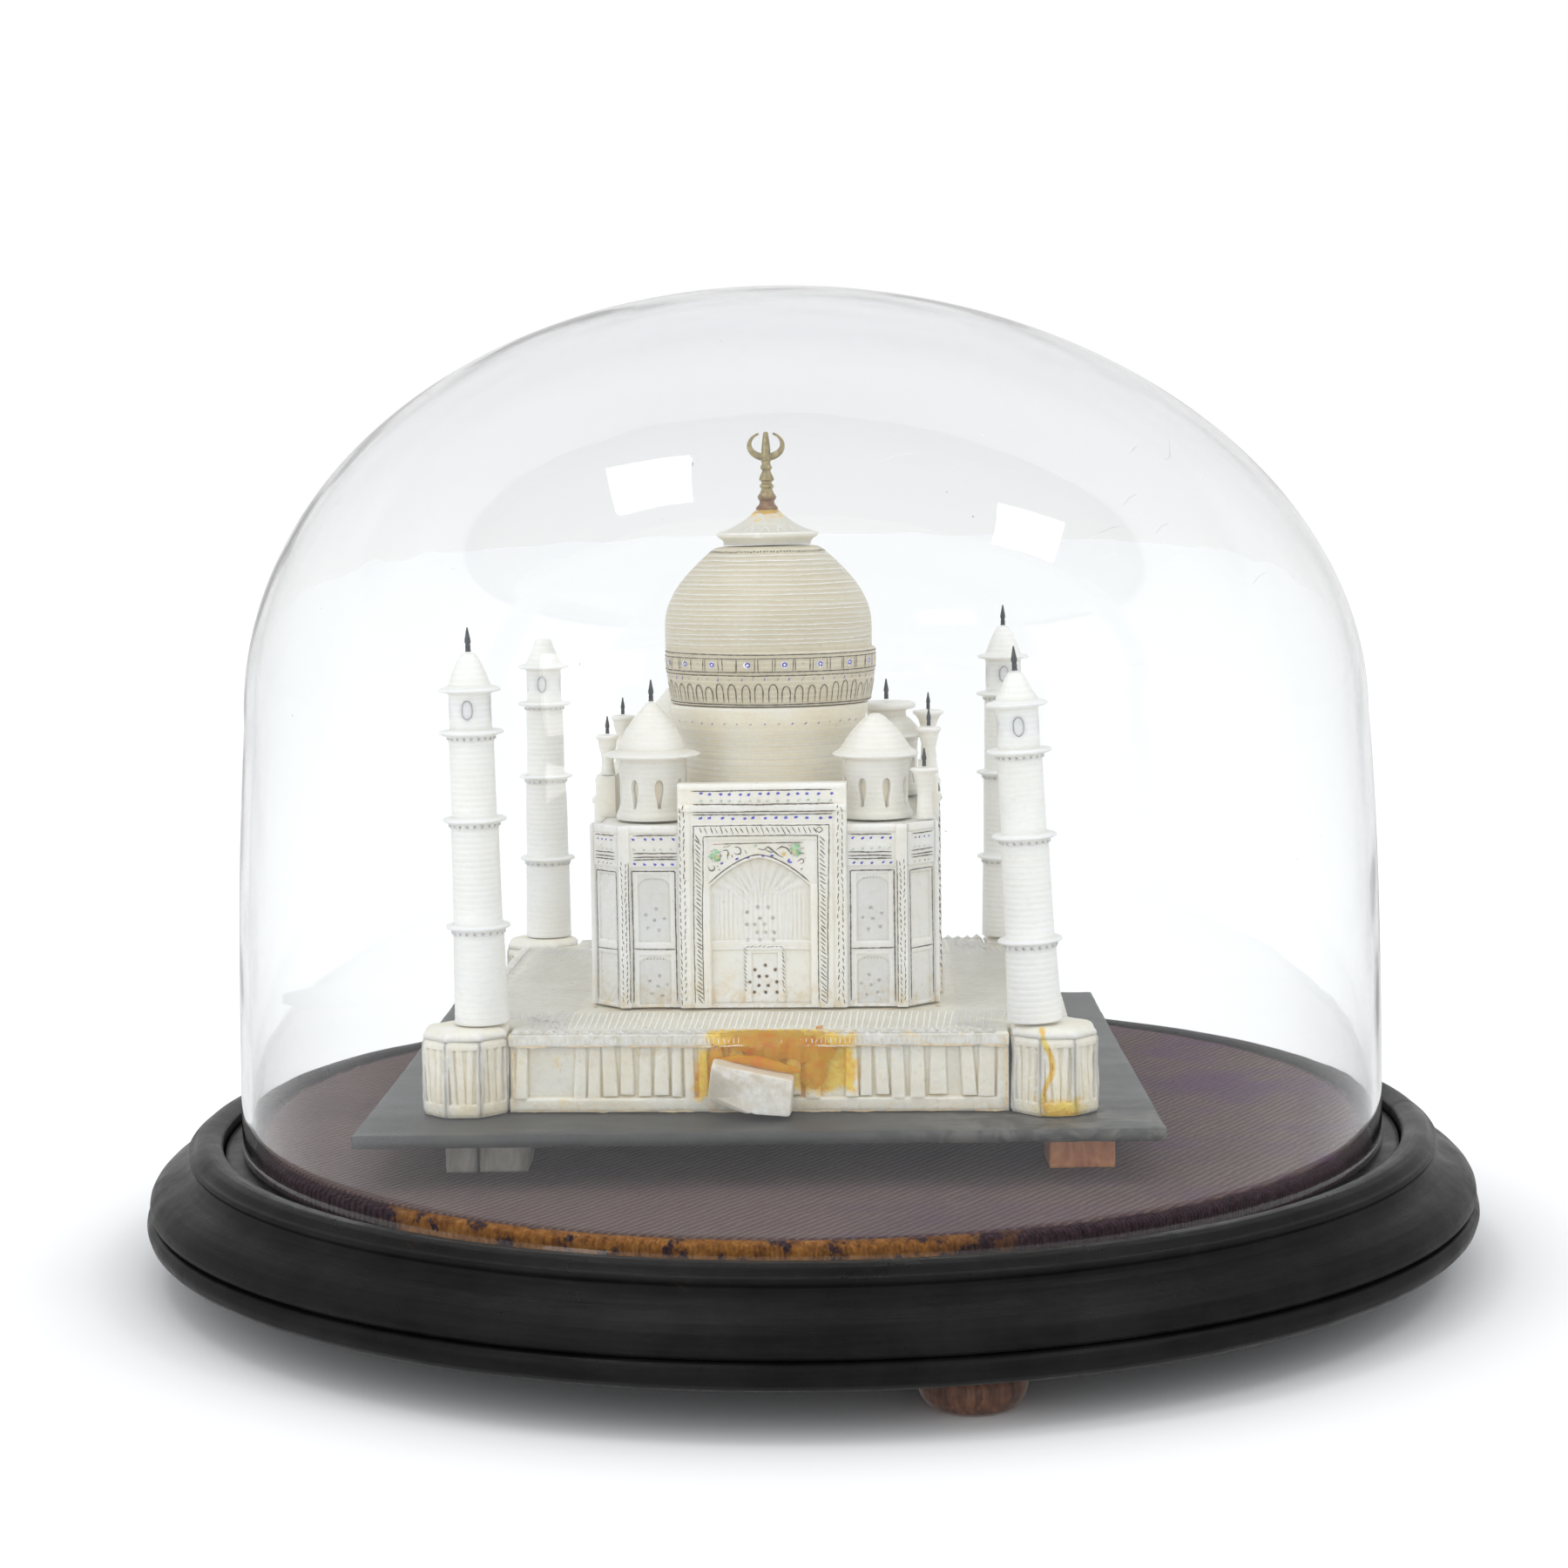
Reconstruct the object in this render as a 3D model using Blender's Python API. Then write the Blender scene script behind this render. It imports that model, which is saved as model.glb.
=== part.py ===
"""Souvenir model of a domed mausoleum with four minarets, carved in alabaster and kept under a glass dome.

The frame is at the centre of the underside of the feet, +Z up, with the front of the building facing -Y.
A turned, ebonised base on bun feet carries a velvet-covered pad and the glass dome. On the velvet, four
scraps of stone hold up a slate slab, and the alabaster terrace with its building is glued to the slab.
Profiles are lists of (radius, height) in millimetres, written from the top down the outer side.
"""

import math

import bmesh
import bpy
from mathutils import Matrix, Vector

MM = 0.001
TOUCH_GAP = 0.3

# Base, feet and pad
FOOT_HEIGHT = 10.0
FOOT_RADIUS = 11.5
FOOT_FLAT_RADIUS = 7.0
FOOT_CIRCLE_RADIUS = 141.5
FOOT_ANGLES = {"front": -77.3, "right": 42.7, "left": 162.7}
BASE_RADIUS = 163.3
BOARD_TOP = 16.4
DECK_RADIUS = 144.3
DECK_TOP = 29.8
RIM_INNER_RADIUS = 144.8
RIM_TOP = 33.3
PAD_RADIUS = 135.6
VELVET_RADIUS = 136.8
VELVET_TOP = 34.0
VELVET_THICKNESS = 0.7

# Glass dome
GLASS_FOOT_RADIUS = 140.2
GLASS_SHOULDER_RADIUS = 136.6
GLASS_SHOULDER_HEIGHT = 133.0
GLASS_TOP = 236.5
GLASS_THICKNESS = 2.4
GLASS_APEX_LEAN = -6.0
GLASS_LEAN_START = 117.0

# Slate slab, off centre and slightly turned, on scraps of stone
SLAB_CENTRE = (-10.9, 0.0)
SLAB_SIDE = 178.6
SLAB_THICKNESS = 3.0
SLAB_TOP = 46.8
SLAB_TURN = -0.9

# Terrace, in the model's own frame: its floor is square, its origin is on the slab
MODEL_CENTRE = (-9.0, 1.5)
MODEL_TURN = -2.8
BASTION_CENTRES = {
    "front_left": (-66.6, -66.6),
    "front_right": (66.6, -66.6),
    "rear_right": (63.8, 66.6),
    "rear_left": (-66.6, 66.6),
}
BASTION_ACROSS_FLATS = 19.6
BASTION_HEIGHT = 19.6
WALL_FACE = 70.4
WALL_THICKNESS = 4.0
WALL_TOP = 14.9
FLOOR_TOP = 18.5
FLOOR_THICKNESS = 3.2
FLOOR_OVERHANG = 0.4

# Building, centred on the terrace
WALL_PLANE = 40.5
CORNER_CUT = 6.6
ROOF_TOP = 62.0
ROOF_THICKNESS = 3.5
CAVITY_HALF = 33.4
PORTAL_HALF_WIDTH = 19.8
PORTAL_FACE = 41.6
PORTAL_THICKNESS = 5.0
PORTAL_TOP = 71.8
NICHE_HALF_WIDTH = 12.0
NICHE_SPRING = 49.0
NICHE_APEX = 55.4
NICHE_DEPTH = 3.2
TURRET_CENTRES = {
    "front_left": (-26.9, -26.5),
    "front_right": (26.5, -26.5),
    "rear_right": (28.6, 26.5),
    "rear_left": (-26.5, 26.5),
}
PORTAL_PINNACLE_SPACING = 18.4

# Minarets: where each stands on its bastion, its lean to the side in degrees, and the heights above its foot
# of its three balconies, its eave and its top
MINARET_KIOSK_RADIUS = 4.8
MINARETS = {
    "front_left": (-63.2, -65.1, -0.8, (22.7, 47.1, 66.9), 76.0, 84.3),
    "front_right": (62.5, -66.8, -3.0, (18.8, 42.4, 61.6), 71.5, 78.7),
    "rear_right": (59.7, 65.4, 0.0, (21.7, 44.4, 65.7), 75.2, 83.4),
    "rear_left": (-65.1, 68.3, 0.0, (21.9, 44.2, 64.0), 73.6, 81.2),
}
TIPLESS_MINARET = "rear_left"

# Facets round each kind of turned piece
FACETS_BASE = 48
FACETS_GLASS = 40
FACETS_DOME = 32
FACETS_SMALL = 16
FACETS_PIN = 8


def clear_scene():
    for existing in list(bpy.data.objects):
        bpy.data.objects.remove(existing, do_unlink=True)


def finish(name, red, green, blue, roughness, metallic=0.0, alpha=1.0):
    """A Principled material of one colour."""
    material = bpy.data.materials.new(name)
    material.use_nodes = True
    shader = material.node_tree.nodes["Principled BSDF"]
    shader.inputs["Base Color"].default_value = (red, green, blue, 1.0)
    shader.inputs["Roughness"].default_value = roughness
    shader.inputs["Metallic"].default_value = metallic
    shader.inputs["Alpha"].default_value = alpha
    return material


def add_object(name, mesh_data, material, parent=None, place=(0, 0, 0), turn=(0, 0, 0)):
    """An object of this mesh, placed in millimetres and turned in degrees."""
    node = bpy.data.objects.new(name, mesh_data)
    bpy.context.scene.collection.objects.link(node)
    if not mesh_data.materials:
        mesh_data.materials.append(material)
    node.parent = parent
    node.location = [value * MM for value in place]
    node.rotation_euler = [math.radians(value) for value in turn]
    return node


def frame_at(name, parent=None, place=(0, 0, 0), turn=(0, 0, 0)):
    """An empty that other pieces are placed from."""
    empty = bpy.data.objects.new(name, None)
    bpy.context.scene.collection.objects.link(empty)
    empty.parent = parent
    empty.location = [value * MM for value in place]
    empty.rotation_euler = [math.radians(value) for value in turn]
    return empty


def to_mesh(name, build, smooth=True):
    """A mesh datablock from a bmesh, with its edges over 35 degrees left sharp."""
    bmesh.ops.recalc_face_normals(build, faces=build.faces)
    data = bpy.data.meshes.new(name)
    build.to_mesh(data)
    build.free()
    if smooth:
        data.shade_smooth()
        data.set_sharp_from_angle(angle=math.radians(35))
    return data


def lathe(profile, facets, closed=False, lean=None):
    """A turned solid. An open profile starts and ends on the axis, and a closed one is a ring's section."""
    build = bmesh.new()
    rings = []
    for radius, height in profile:
        shift = lean(height) if lean else 0.0
        if radius == 0:
            rings.append([build.verts.new((shift * MM, 0, height * MM))])
            continue
        ring = []
        for facet in range(facets):
            angle = 2 * math.pi * facet / facets
            across = radius * math.cos(angle) + shift
            ring.append(build.verts.new((across * MM, radius * math.sin(angle) * MM, height * MM)))
        rings.append(ring)
    pairs = list(zip(rings, rings[1:]))
    if closed:
        pairs.append((rings[-1], rings[0]))
    for upper, lower in pairs:
        for facet in range(facets):
            following = (facet + 1) % facets
            corners = [
                upper[facet % len(upper)],
                lower[facet % len(lower)],
                lower[following % len(lower)],
                upper[following % len(upper)],
            ]
            build.faces.new(list(dict.fromkeys(corners)))
    return build


def prism(outline, bottom, top):
    """An upright prism over a plan outline in millimetres, listed counter-clockwise."""
    build = bmesh.new()
    low = [build.verts.new((x * MM, y * MM, bottom * MM)) for x, y in outline]
    high = [build.verts.new((x * MM, y * MM, top * MM)) for x, y in outline]
    build.faces.new(list(reversed(low)))
    build.faces.new(high)
    for index in range(len(outline)):
        following = (index + 1) % len(outline)
        build.faces.new([low[index], low[following], high[following], high[index]])
    return build


def upright_plate(outline, front, back):
    """A plate over an (x, z) outline in millimetres, listed counter-clockwise as seen from the front."""
    build = prism(outline, -back, -front)
    bmesh.ops.rotate(build, verts=build.verts, matrix=Matrix.Rotation(math.pi / 2, 3, "X"))
    return build


def block(x_range, y_range, z_range):
    outline = [
        (x_range[0], y_range[0]),
        (x_range[1], y_range[0]),
        (x_range[1], y_range[1]),
        (x_range[0], y_range[1]),
    ]
    return prism(outline, *z_range)


def arc(centre, radii, start, end, count):
    """Points on an elliptical arc between two angles in degrees, both ends included."""
    points = []
    for step in range(count + 1):
        angle = math.radians(start + (end - start) * step / count)
        points.append((centre[0] + radii[0] * math.cos(angle), centre[1] + radii[1] * math.sin(angle)))
    return points


def carve(target, cutter_mesh, parent, place=(0, 0, 0), turn=(0, 0, 0)):
    """Cuts a helper shape out of a piece."""
    cutter = add_object(target.name + "_cutter", cutter_mesh, None, parent, place, turn)
    cutter.hide_render = True
    cutter.display_type = "WIRE"
    cut = target.modifiers.new("Carve", "BOOLEAN")
    cut.operation = "DIFFERENCE"
    cut.solver = "EXACT"
    cut.object = cutter


def make_materials():
    return {
        "ebonised": finish("ebonised_wood", 0.022, 0.021, 0.02, 0.34),
        "foot_wood": finish("foot_wood", 0.13, 0.055, 0.03, 0.5),
        "board": finish("pad_board", 0.32, 0.2, 0.11, 0.7),
        "velvet": finish("velvet", 0.25, 0.19, 0.2, 0.95),
        "glass": finish("glass", 0.95, 0.97, 0.98, 0.03, alpha=0.35),
        "slate": finish("slate", 0.17, 0.19, 0.21, 0.6),
        "alabaster": finish("alabaster", 0.83, 0.8, 0.73, 0.45),
        "warm_alabaster": finish("warm_alabaster", 0.78, 0.73, 0.62, 0.45),
        "grey_stone": finish("grey_stone", 0.45, 0.42, 0.38, 0.5),
        "red_stone": finish("red_stone", 0.55, 0.16, 0.07, 0.55),
        "iron": finish("iron_pin", 0.05, 0.05, 0.055, 0.5, metallic=0.8),
        "brass": finish("finial_brass", 0.42, 0.34, 0.17, 0.45, metallic=0.9),
    }


def make_base(materials):
    """The board, its moulding, three bun feet, the pad board and its velvet cover."""
    board_profile = [
        (0, DECK_TOP),
        (DECK_RADIUS, DECK_TOP),
        (DECK_RADIUS, BOARD_TOP),
        (BASE_RADIUS - 1.2, BOARD_TOP),
        (BASE_RADIUS, BOARD_TOP - 1.6),
        (BASE_RADIUS - 0.4, FOOT_HEIGHT + 2.4),
        (BASE_RADIUS - 3.4, FOOT_HEIGHT),
        (0, FOOT_HEIGHT),
    ]
    board_mesh = to_mesh("base_board", lathe(board_profile, FACETS_BASE))
    add_object("base_board", board_mesh, materials["ebonised"])

    bottom = BOARD_TOP + TOUCH_GAP
    moulding_profile = [
        (RIM_INNER_RADIUS, RIM_TOP - 1.1),
        (RIM_INNER_RADIUS + 1.2, RIM_TOP - 0.2),
        (148.6, RIM_TOP),
        (151.4, RIM_TOP - 1.0),
        (152.9, RIM_TOP - 3.0),
        (153.2, RIM_TOP - 5.4),
    ]
    moulding_profile += arc((153.6, bottom + 1.0), (9.0, 9.2), 78, 8, 4)
    moulding_profile += [(161.6, bottom), (RIM_INNER_RADIUS, bottom)]
    moulding_mesh = to_mesh("base_moulding", lathe(moulding_profile, FACETS_BASE, closed=True))
    add_object("base_moulding", moulding_mesh, materials["ebonised"])

    foot_top = FOOT_HEIGHT - TOUCH_GAP
    foot_profile = [(0, foot_top), (FOOT_RADIUS - 2.6, foot_top)]
    foot_profile += arc((FOOT_RADIUS - 4.6, 5.2), (4.6, 4.6), 62, -62, 4)
    foot_profile += [(FOOT_FLAT_RADIUS, 0), (0, 0)]
    foot_mesh = to_mesh("bun_foot", lathe(foot_profile, FACETS_SMALL))
    for place_name, angle in FOOT_ANGLES.items():
        turn = math.radians(angle)
        place = (FOOT_CIRCLE_RADIUS * math.cos(turn), FOOT_CIRCLE_RADIUS * math.sin(turn), 0)
        add_object("bun_foot_" + place_name, foot_mesh, materials["foot_wood"], None, place)

    pad_bottom = DECK_TOP + TOUCH_GAP
    pad_top = VELVET_TOP - VELVET_THICKNESS - TOUCH_GAP
    pad_profile = [(0, pad_top), (PAD_RADIUS, pad_top), (PAD_RADIUS, pad_bottom), (0, pad_bottom)]
    add_object("pad_board", to_mesh("pad_board", lathe(pad_profile, FACETS_BASE)), materials["board"])

    inner = PAD_RADIUS + TOUCH_GAP
    velvet_profile = [
        (0, VELVET_TOP),
        (VELVET_RADIUS - 1.2, VELVET_TOP),
        (VELVET_RADIUS, VELVET_TOP - 1.0),
        (VELVET_RADIUS, pad_bottom),
        (inner, pad_bottom),
        (inner, pad_top + TOUCH_GAP),
        (0, pad_top + TOUCH_GAP),
    ]
    add_object("velvet_cover", to_mesh("velvet_cover", lathe(velvet_profile, FACETS_BASE)), materials["velvet"])


def glass_lean(height):
    """How far the blown crown leans sideways at this height."""
    if height <= GLASS_LEAN_START:
        return 0.0
    rise = (height - GLASS_LEAN_START) / (GLASS_TOP - GLASS_LEAN_START)
    return GLASS_APEX_LEAN * rise * rise


def make_glass(materials):
    """The blown dome: a wall that narrows slightly upwards, then an elliptical crown. It is open below."""
    foot = DECK_TOP + TOUCH_GAP
    outer = arc(
        (0, GLASS_SHOULDER_HEIGHT),
        (GLASS_SHOULDER_RADIUS, GLASS_TOP - GLASS_SHOULDER_HEIGHT),
        90,
        0,
        9,
    )
    outer[0] = (0, GLASS_TOP)
    outer.append((GLASS_FOOT_RADIUS - 0.8, 62.0))
    outer.append((GLASS_FOOT_RADIUS, foot))
    inner = [(GLASS_FOOT_RADIUS - GLASS_THICKNESS, foot)]
    inner.append((GLASS_FOOT_RADIUS - 0.8 - GLASS_THICKNESS, 62.0))
    inner_radii = (
        GLASS_SHOULDER_RADIUS - GLASS_THICKNESS,
        GLASS_TOP - GLASS_SHOULDER_HEIGHT - GLASS_THICKNESS,
    )
    crown = arc((0, GLASS_SHOULDER_HEIGHT), inner_radii, 0, 90, 9)
    crown[-1] = (0, GLASS_TOP - GLASS_THICKNESS)
    profile = outer + inner + crown
    mesh = to_mesh("glass_dome", lathe(profile, FACETS_GLASS, lean=glass_lean))
    add_object("glass_dome", mesh, materials["glass"])


def make_packing(materials):
    """Loose scraps of stone between the velvet and the slab, in world axes."""
    low = VELVET_TOP + TOUCH_GAP
    high = SLAB_TOP - SLAB_THICKNESS - TOUCH_GAP
    front = -71.0
    scraps = {
        "packing_front_left": ((-83.2, -75.9), (front, front + 13), "grey_stone"),
        "packing_front_left_end": ((-75.6, -63.2), (front, front + 12), "grey_stone"),
        "packing_front_right": ((52.6, 67.6), (front - 3.5, front + 9), "red_stone"),
        "packing_rear_left": ((-78.0, -63.0), (60.0, 72.0), "grey_stone"),
        "packing_rear_right": ((46.0, 60.0), (60.0, 73.0), "grey_stone"),
    }
    for name, (x_range, y_range, stone) in scraps.items():
        mesh = to_mesh(name, block(x_range, y_range, (low, high)), smooth=False)
        add_object(name, mesh, materials[stone])


def side_angles():
    """The four faces of the building and terrace: name and turn about +Z."""
    return {"front": 0, "right": 90, "back": 180, "left": 270}


def make_slab(materials, lift):
    half = SLAB_SIDE / 2
    outline = (-half, half)
    slab = block(outline, outline, (SLAB_TOP - SLAB_THICKNESS, SLAB_TOP))
    place = (SLAB_CENTRE[0], SLAB_CENTRE[1], 0)
    mesh = to_mesh("slate_slab", slab, smooth=False)
    add_object("slate_slab", mesh, materials["slate"], lift, place, (0, 0, SLAB_TURN))


def floor_outline():
    """The plan of the paved floor: a square notched round each bastion."""
    edge = WALL_FACE + FLOOR_OVERHANG
    clear = BASTION_ACROSS_FLATS / 2 + TOUCH_GAP
    flat = BASTION_ACROSS_FLATS / 2 * math.tan(math.pi / 8) + TOUCH_GAP
    outline = []
    for index, (x, y) in enumerate(BASTION_CENTRES.values()):
        side_x = math.copysign(1, x)
        side_y = math.copysign(1, y)
        notch = [
            (side_x * edge, y - side_y * clear),
            (x - side_x * flat, y - side_y * clear),
            (x - side_x * clear, y - side_y * flat),
            (x - side_x * clear, side_y * edge),
        ]
        outline += notch if index % 2 == 0 else reversed(notch)
    return outline


def make_terrace(materials, model):
    """Four octagonal bastions, four walls, the paved floor notched round the bastions, and the loose step."""
    across = BASTION_ACROSS_FLATS / 2
    octagon = arc((0, 0), [across / math.cos(math.pi / 8)] * 2, 22.5, 337.5, 7)
    bastion_mesh = to_mesh("bastion", prism(octagon, 0, BASTION_HEIGHT), smooth=False)
    for name, (x, y) in BASTION_CENTRES.items():
        add_object("bastion_" + name, bastion_mesh, materials["alabaster"], model, (x, y, 0))

    clear = across + TOUCH_GAP
    left = BASTION_CENTRES["front_left"][0] + clear
    low = BASTION_CENTRES["front_left"][1] + clear
    front_right = BASTION_CENTRES["front_right"][0] - clear
    rear_right = BASTION_CENTRES["rear_right"][0] - clear
    high = BASTION_CENTRES["rear_right"][1] - clear
    inner_face = WALL_FACE - WALL_THICKNESS
    walls = {
        "front": ((left, front_right), (-WALL_FACE, -inner_face)),
        "right": ((inner_face, WALL_FACE), (low, high)),
        "back": ((left, rear_right), (inner_face, WALL_FACE)),
        "left": ((-WALL_FACE, -inner_face), (low, high)),
    }
    for name, (x_range, y_range) in walls.items():
        wall_mesh = to_mesh("wall_" + name, block(x_range, y_range, (0, WALL_TOP)), smooth=False)
        add_object("terrace_wall_" + name, wall_mesh, materials["warm_alabaster"], model)

    floor = prism(floor_outline(), FLOOR_TOP - FLOOR_THICKNESS, FLOOR_TOP)
    floor_mesh = to_mesh("terrace_floor", floor, smooth=False)
    add_object("terrace_floor", floor_mesh, materials["warm_alabaster"], model)

    step = upright_plate([(-10.8, 3.2), (-0.5, 0.6), (8.3, 0.1), (9.0, 8.5), (-9.3, 12.4)], -79.6, -71.2)
    step_mesh = to_mesh("step_block", step, smooth=False)
    add_object("step_block", step_mesh, materials["warm_alabaster"], model, (-0.6, 0, 0.5))


def body_outline():
    """The plan of the building: a square with its corners cut off and a seat for the portal in each side."""
    cut = WALL_PLANE - CORNER_CUT
    seat = PORTAL_HALF_WIDTH + TOUCH_GAP
    seat_depth = PORTAL_FACE - PORTAL_THICKNESS - TOUCH_GAP
    side = [
        (-cut, -WALL_PLANE),
        (-seat, -WALL_PLANE),
        (-seat, -seat_depth),
        (seat, -seat_depth),
        (seat, -WALL_PLANE),
        (cut, -WALL_PLANE),
    ]
    outline = []
    for angle in side_angles().values():
        turn = Matrix.Rotation(math.radians(angle), 2)
        outline += [tuple(turn @ Vector(corner)) for corner in side]
    return outline


def niche_outline():
    """The pointed arch of a portal: an upright opening with a keel-shaped head."""
    spring = NICHE_SPRING
    rise = NICHE_APEX - spring
    right_side = []
    for step in range(5):
        share = step / 5
        across = NICHE_HALF_WIDTH * math.cos(share * math.pi / 2) ** 0.8
        right_side.append((across, spring + rise * math.sin(share * math.pi / 2)))
    left_side = [(-x, z) for x, z in reversed(right_side)]
    start = FLOOR_TOP - 2.0
    return [(-NICHE_HALF_WIDTH, start), (NICHE_HALF_WIDTH, start), *right_side, (0, NICHE_APEX), *left_side]


def make_building(materials, building):
    """The hollow body, its four portals, the drum, the main dome, the dome's cap and the finial."""
    base = FLOOR_TOP + TOUCH_GAP
    body_mesh = to_mesh("mausoleum_body", prism(body_outline(), base, ROOF_TOP), smooth=False)
    body = add_object("mausoleum_body", body_mesh, materials["alabaster"], building)
    cavity_range = (-CAVITY_HALF, CAVITY_HALF)
    cavity = block(cavity_range, cavity_range, (base - 5, ROOF_TOP - ROOF_THICKNESS))
    carve(body, to_mesh("body_cavity", cavity, smooth=False), building)

    width = (-PORTAL_HALF_WIDTH, PORTAL_HALF_WIDTH)
    depth = (-PORTAL_FACE, PORTAL_THICKNESS - PORTAL_FACE)
    portal_mesh = to_mesh("portal", block(width, depth, (base, PORTAL_TOP)), smooth=False)
    niche = upright_plate(niche_outline(), -PORTAL_FACE - 3, -PORTAL_FACE + NICHE_DEPTH)
    niche_mesh = to_mesh("portal_niche", niche, smooth=False)
    for name, angle in side_angles().items():
        turn = (0, 0, angle)
        portal = add_object("portal_" + name, portal_mesh, materials["alabaster"], building, turn=turn)
        carve(portal, niche_mesh, building, turn=turn)

    drum_top = 88.2
    drum_profile = [
        (0, drum_top),
        (24.6, drum_top),
        (24.2, 86.0),
        (22.4, 81.0),
        (21.2, 78.4),
        (20.8, 74.0),
        (20.8, ROOF_TOP + TOUCH_GAP),
        (0, ROOF_TOP + TOUCH_GAP),
    ]
    drum_mesh = to_mesh("drum", lathe(drum_profile, FACETS_DOME))
    add_object("drum", drum_mesh, materials["warm_alabaster"], building)

    dome_top = 126.6
    dome_profile = [(0, dome_top), (11.2, dome_top), (13.0, 126.2)]
    dome_profile += [(17.0, 122.8), (20.3, 119.4), (22.9, 116.0), (24.6, 112.5), (25.5, 109.0)]
    dome_profile += [(25.6, 107.0), (25.6, 102.0), (25.9, 101.4), (25.8, 96.4), (25.4, 92.0)]
    dome_profile += [(24.7, drum_top + TOUCH_GAP), (0, drum_top + TOUCH_GAP)]
    dome_mesh = to_mesh("main_dome", lathe(dome_profile, FACETS_DOME))
    add_object("main_dome", dome_mesh, materials["warm_alabaster"], building)

    cap_bottom = dome_top + TOUCH_GAP
    cap_top = 135.2
    cap_profile = [(0, cap_top), (3.1, cap_top), (5.0, 133.4), (8.6, 130.9), (12.6, 129.7)]
    cap_profile += [(12.5, 129.0), (10.8, 128.0), (10.8, cap_bottom), (0, cap_bottom)]
    cap_mesh = to_mesh("dome_cap", lathe(cap_profile, 24))
    add_object("dome_cap", cap_mesh, materials["warm_alabaster"], building)
    make_finial(materials, building, cap_top + TOUCH_GAP)


def make_finial(materials, building, foot):
    """A cast baluster with a crescent across its top."""
    baluster = [
        (0, 19.2),
        (0.5, 19.2),
        (1.0, 14.0),
        (1.35, 12.6),
        (0.95, 11.0),
        (1.3, 10.0),
        (1.4, 9.2),
        (1.0, 8.8),
        (1.75, 6.9),
        (1.2, 6.5),
        (1.6, 5.6),
        (1.3, 5.2),
        (2.2, 3.0),
        (1.5, 2.0),
        (2.7, 0.3),
        (0, 0.3),
    ]
    shifted = [(radius, height + foot - 0.3) for radius, height in baluster]
    finial = add_object(
        "finial", to_mesh("finial", lathe(shifted, 12)), materials["brass"], building
    )
    centre = foot + 15.7
    outer = arc((0, centre), (4.7, 4.7), 58, -238, 14)
    inner = arc((0, centre + 0.75), (3.75, 3.75), -238, 58, 14)
    crescent = upright_plate(list(reversed(outer + inner)), -0.6, 0.6)
    helper = add_object("crescent_union", to_mesh("crescent", crescent, smooth=False), None, building)
    helper.hide_render = True
    helper.display_type = "WIRE"
    union = finial.modifiers.new("Crescent", "BOOLEAN")
    union.operation = "UNION"
    union.solver = "EXACT"
    union.object = helper


def pin_mesh(name, length, radius=0.65):
    """A short forged pin with a waist near its foot and a blunt point."""
    profile = [
        (0, length),
        (0.18, length - 0.1),
        (radius, length * 0.42),
        (radius * 0.7, length * 0.3),
        (radius * 0.95, 0),
        (0, 0),
    ]
    return to_mesh(name, lathe(profile, FACETS_PIN))


def turret_profile(roof_points):
    """A hollow corner turret, open below: the roof, the eave, the round body and its flared foot."""
    return [
        *roof_points,
        (8.0, 14.6),
        (7.8, 4.6),
        (8.8, 1.2),
        (8.8, TOUCH_GAP),
        (5.8, TOUCH_GAP),
        (5.8, 12.8),
        (0, 12.8),
    ]


def make_turrets(materials, building):
    """Four corner turrets with keyhole openings. The rear right one has a patched, flat-topped roof."""
    cone = [(0, 28.0), (1.3, 28.0), (4.4, 24.2), (7.2, 20.2), (8.4, 17.4), (11.7, 16.2), (11.4, 15.4)]
    squat = [(0, 25.0), (1.6, 25.0), (5.4, 22.6), (7.6, 19.4), (8.4, 16.8), (10.3, 15.8), (10.0, 15.0)]
    patched = [
        (0, 24.4),
        (6.6, 24.0),
        (7.6, 23.2),
        (7.4, 22.4),
        (5.0, 22.0),
        (5.0, 20.0),
        (8.4, 17.4),
        (11.4, 16.2),
        (11.1, 15.4),
    ]
    keyhole = [(0.5, 2.2), (1.2, 6.6), (0.8, 9.0), (-0.8, 9.0), (-1.2, 6.6), (-0.5, 2.2)]
    keyhole_mesh = to_mesh("keyhole_bar", upright_plate(keyhole, -12, 12), smooth=False)
    turret_meshes = {
        "whole": to_mesh("turret", lathe(turret_profile(cone), FACETS_SMALL)),
        "squat": to_mesh("turret_squat", lathe(turret_profile(squat), FACETS_SMALL)),
        "patched": to_mesh("turret_patched", lathe(turret_profile(patched), FACETS_SMALL)),
    }
    kinds = {"rear_right": "patched", "front_right": "squat"}
    for name, (x, y) in TURRET_CENTRES.items():
        kind = kinds.get(name, "whole")
        place = (x, y, ROOF_TOP)
        turret = add_object("turret_" + name, turret_meshes[kind], materials["alabaster"], building, place)
        for step in range(4):
            carve(turret, keyhole_mesh, building, place, (0, 0, 17 + 45 * step))
    turret_pin = pin_mesh("turret_pin", 5.2)
    for name, top in (("front_left", 28.0), ("rear_right", 24.4)):
        x, y = TURRET_CENTRES[name]
        place = (x, y, ROOF_TOP + top + TOUCH_GAP)
        add_object("turret_pin_" + name, turret_pin, materials["iron"], building, place)


def pinnacle_profile(height, cap_radius, stem_radius):
    """A stem that narrows, then flares under a flat cap."""
    return [
        (0, height),
        (cap_radius, height),
        (cap_radius, height - 1.0),
        (stem_radius + 0.9, height - 2.2),
        (stem_radius - 0.3, height - 6.5),
        (stem_radius, 0),
        (0, 0),
    ]


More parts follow.
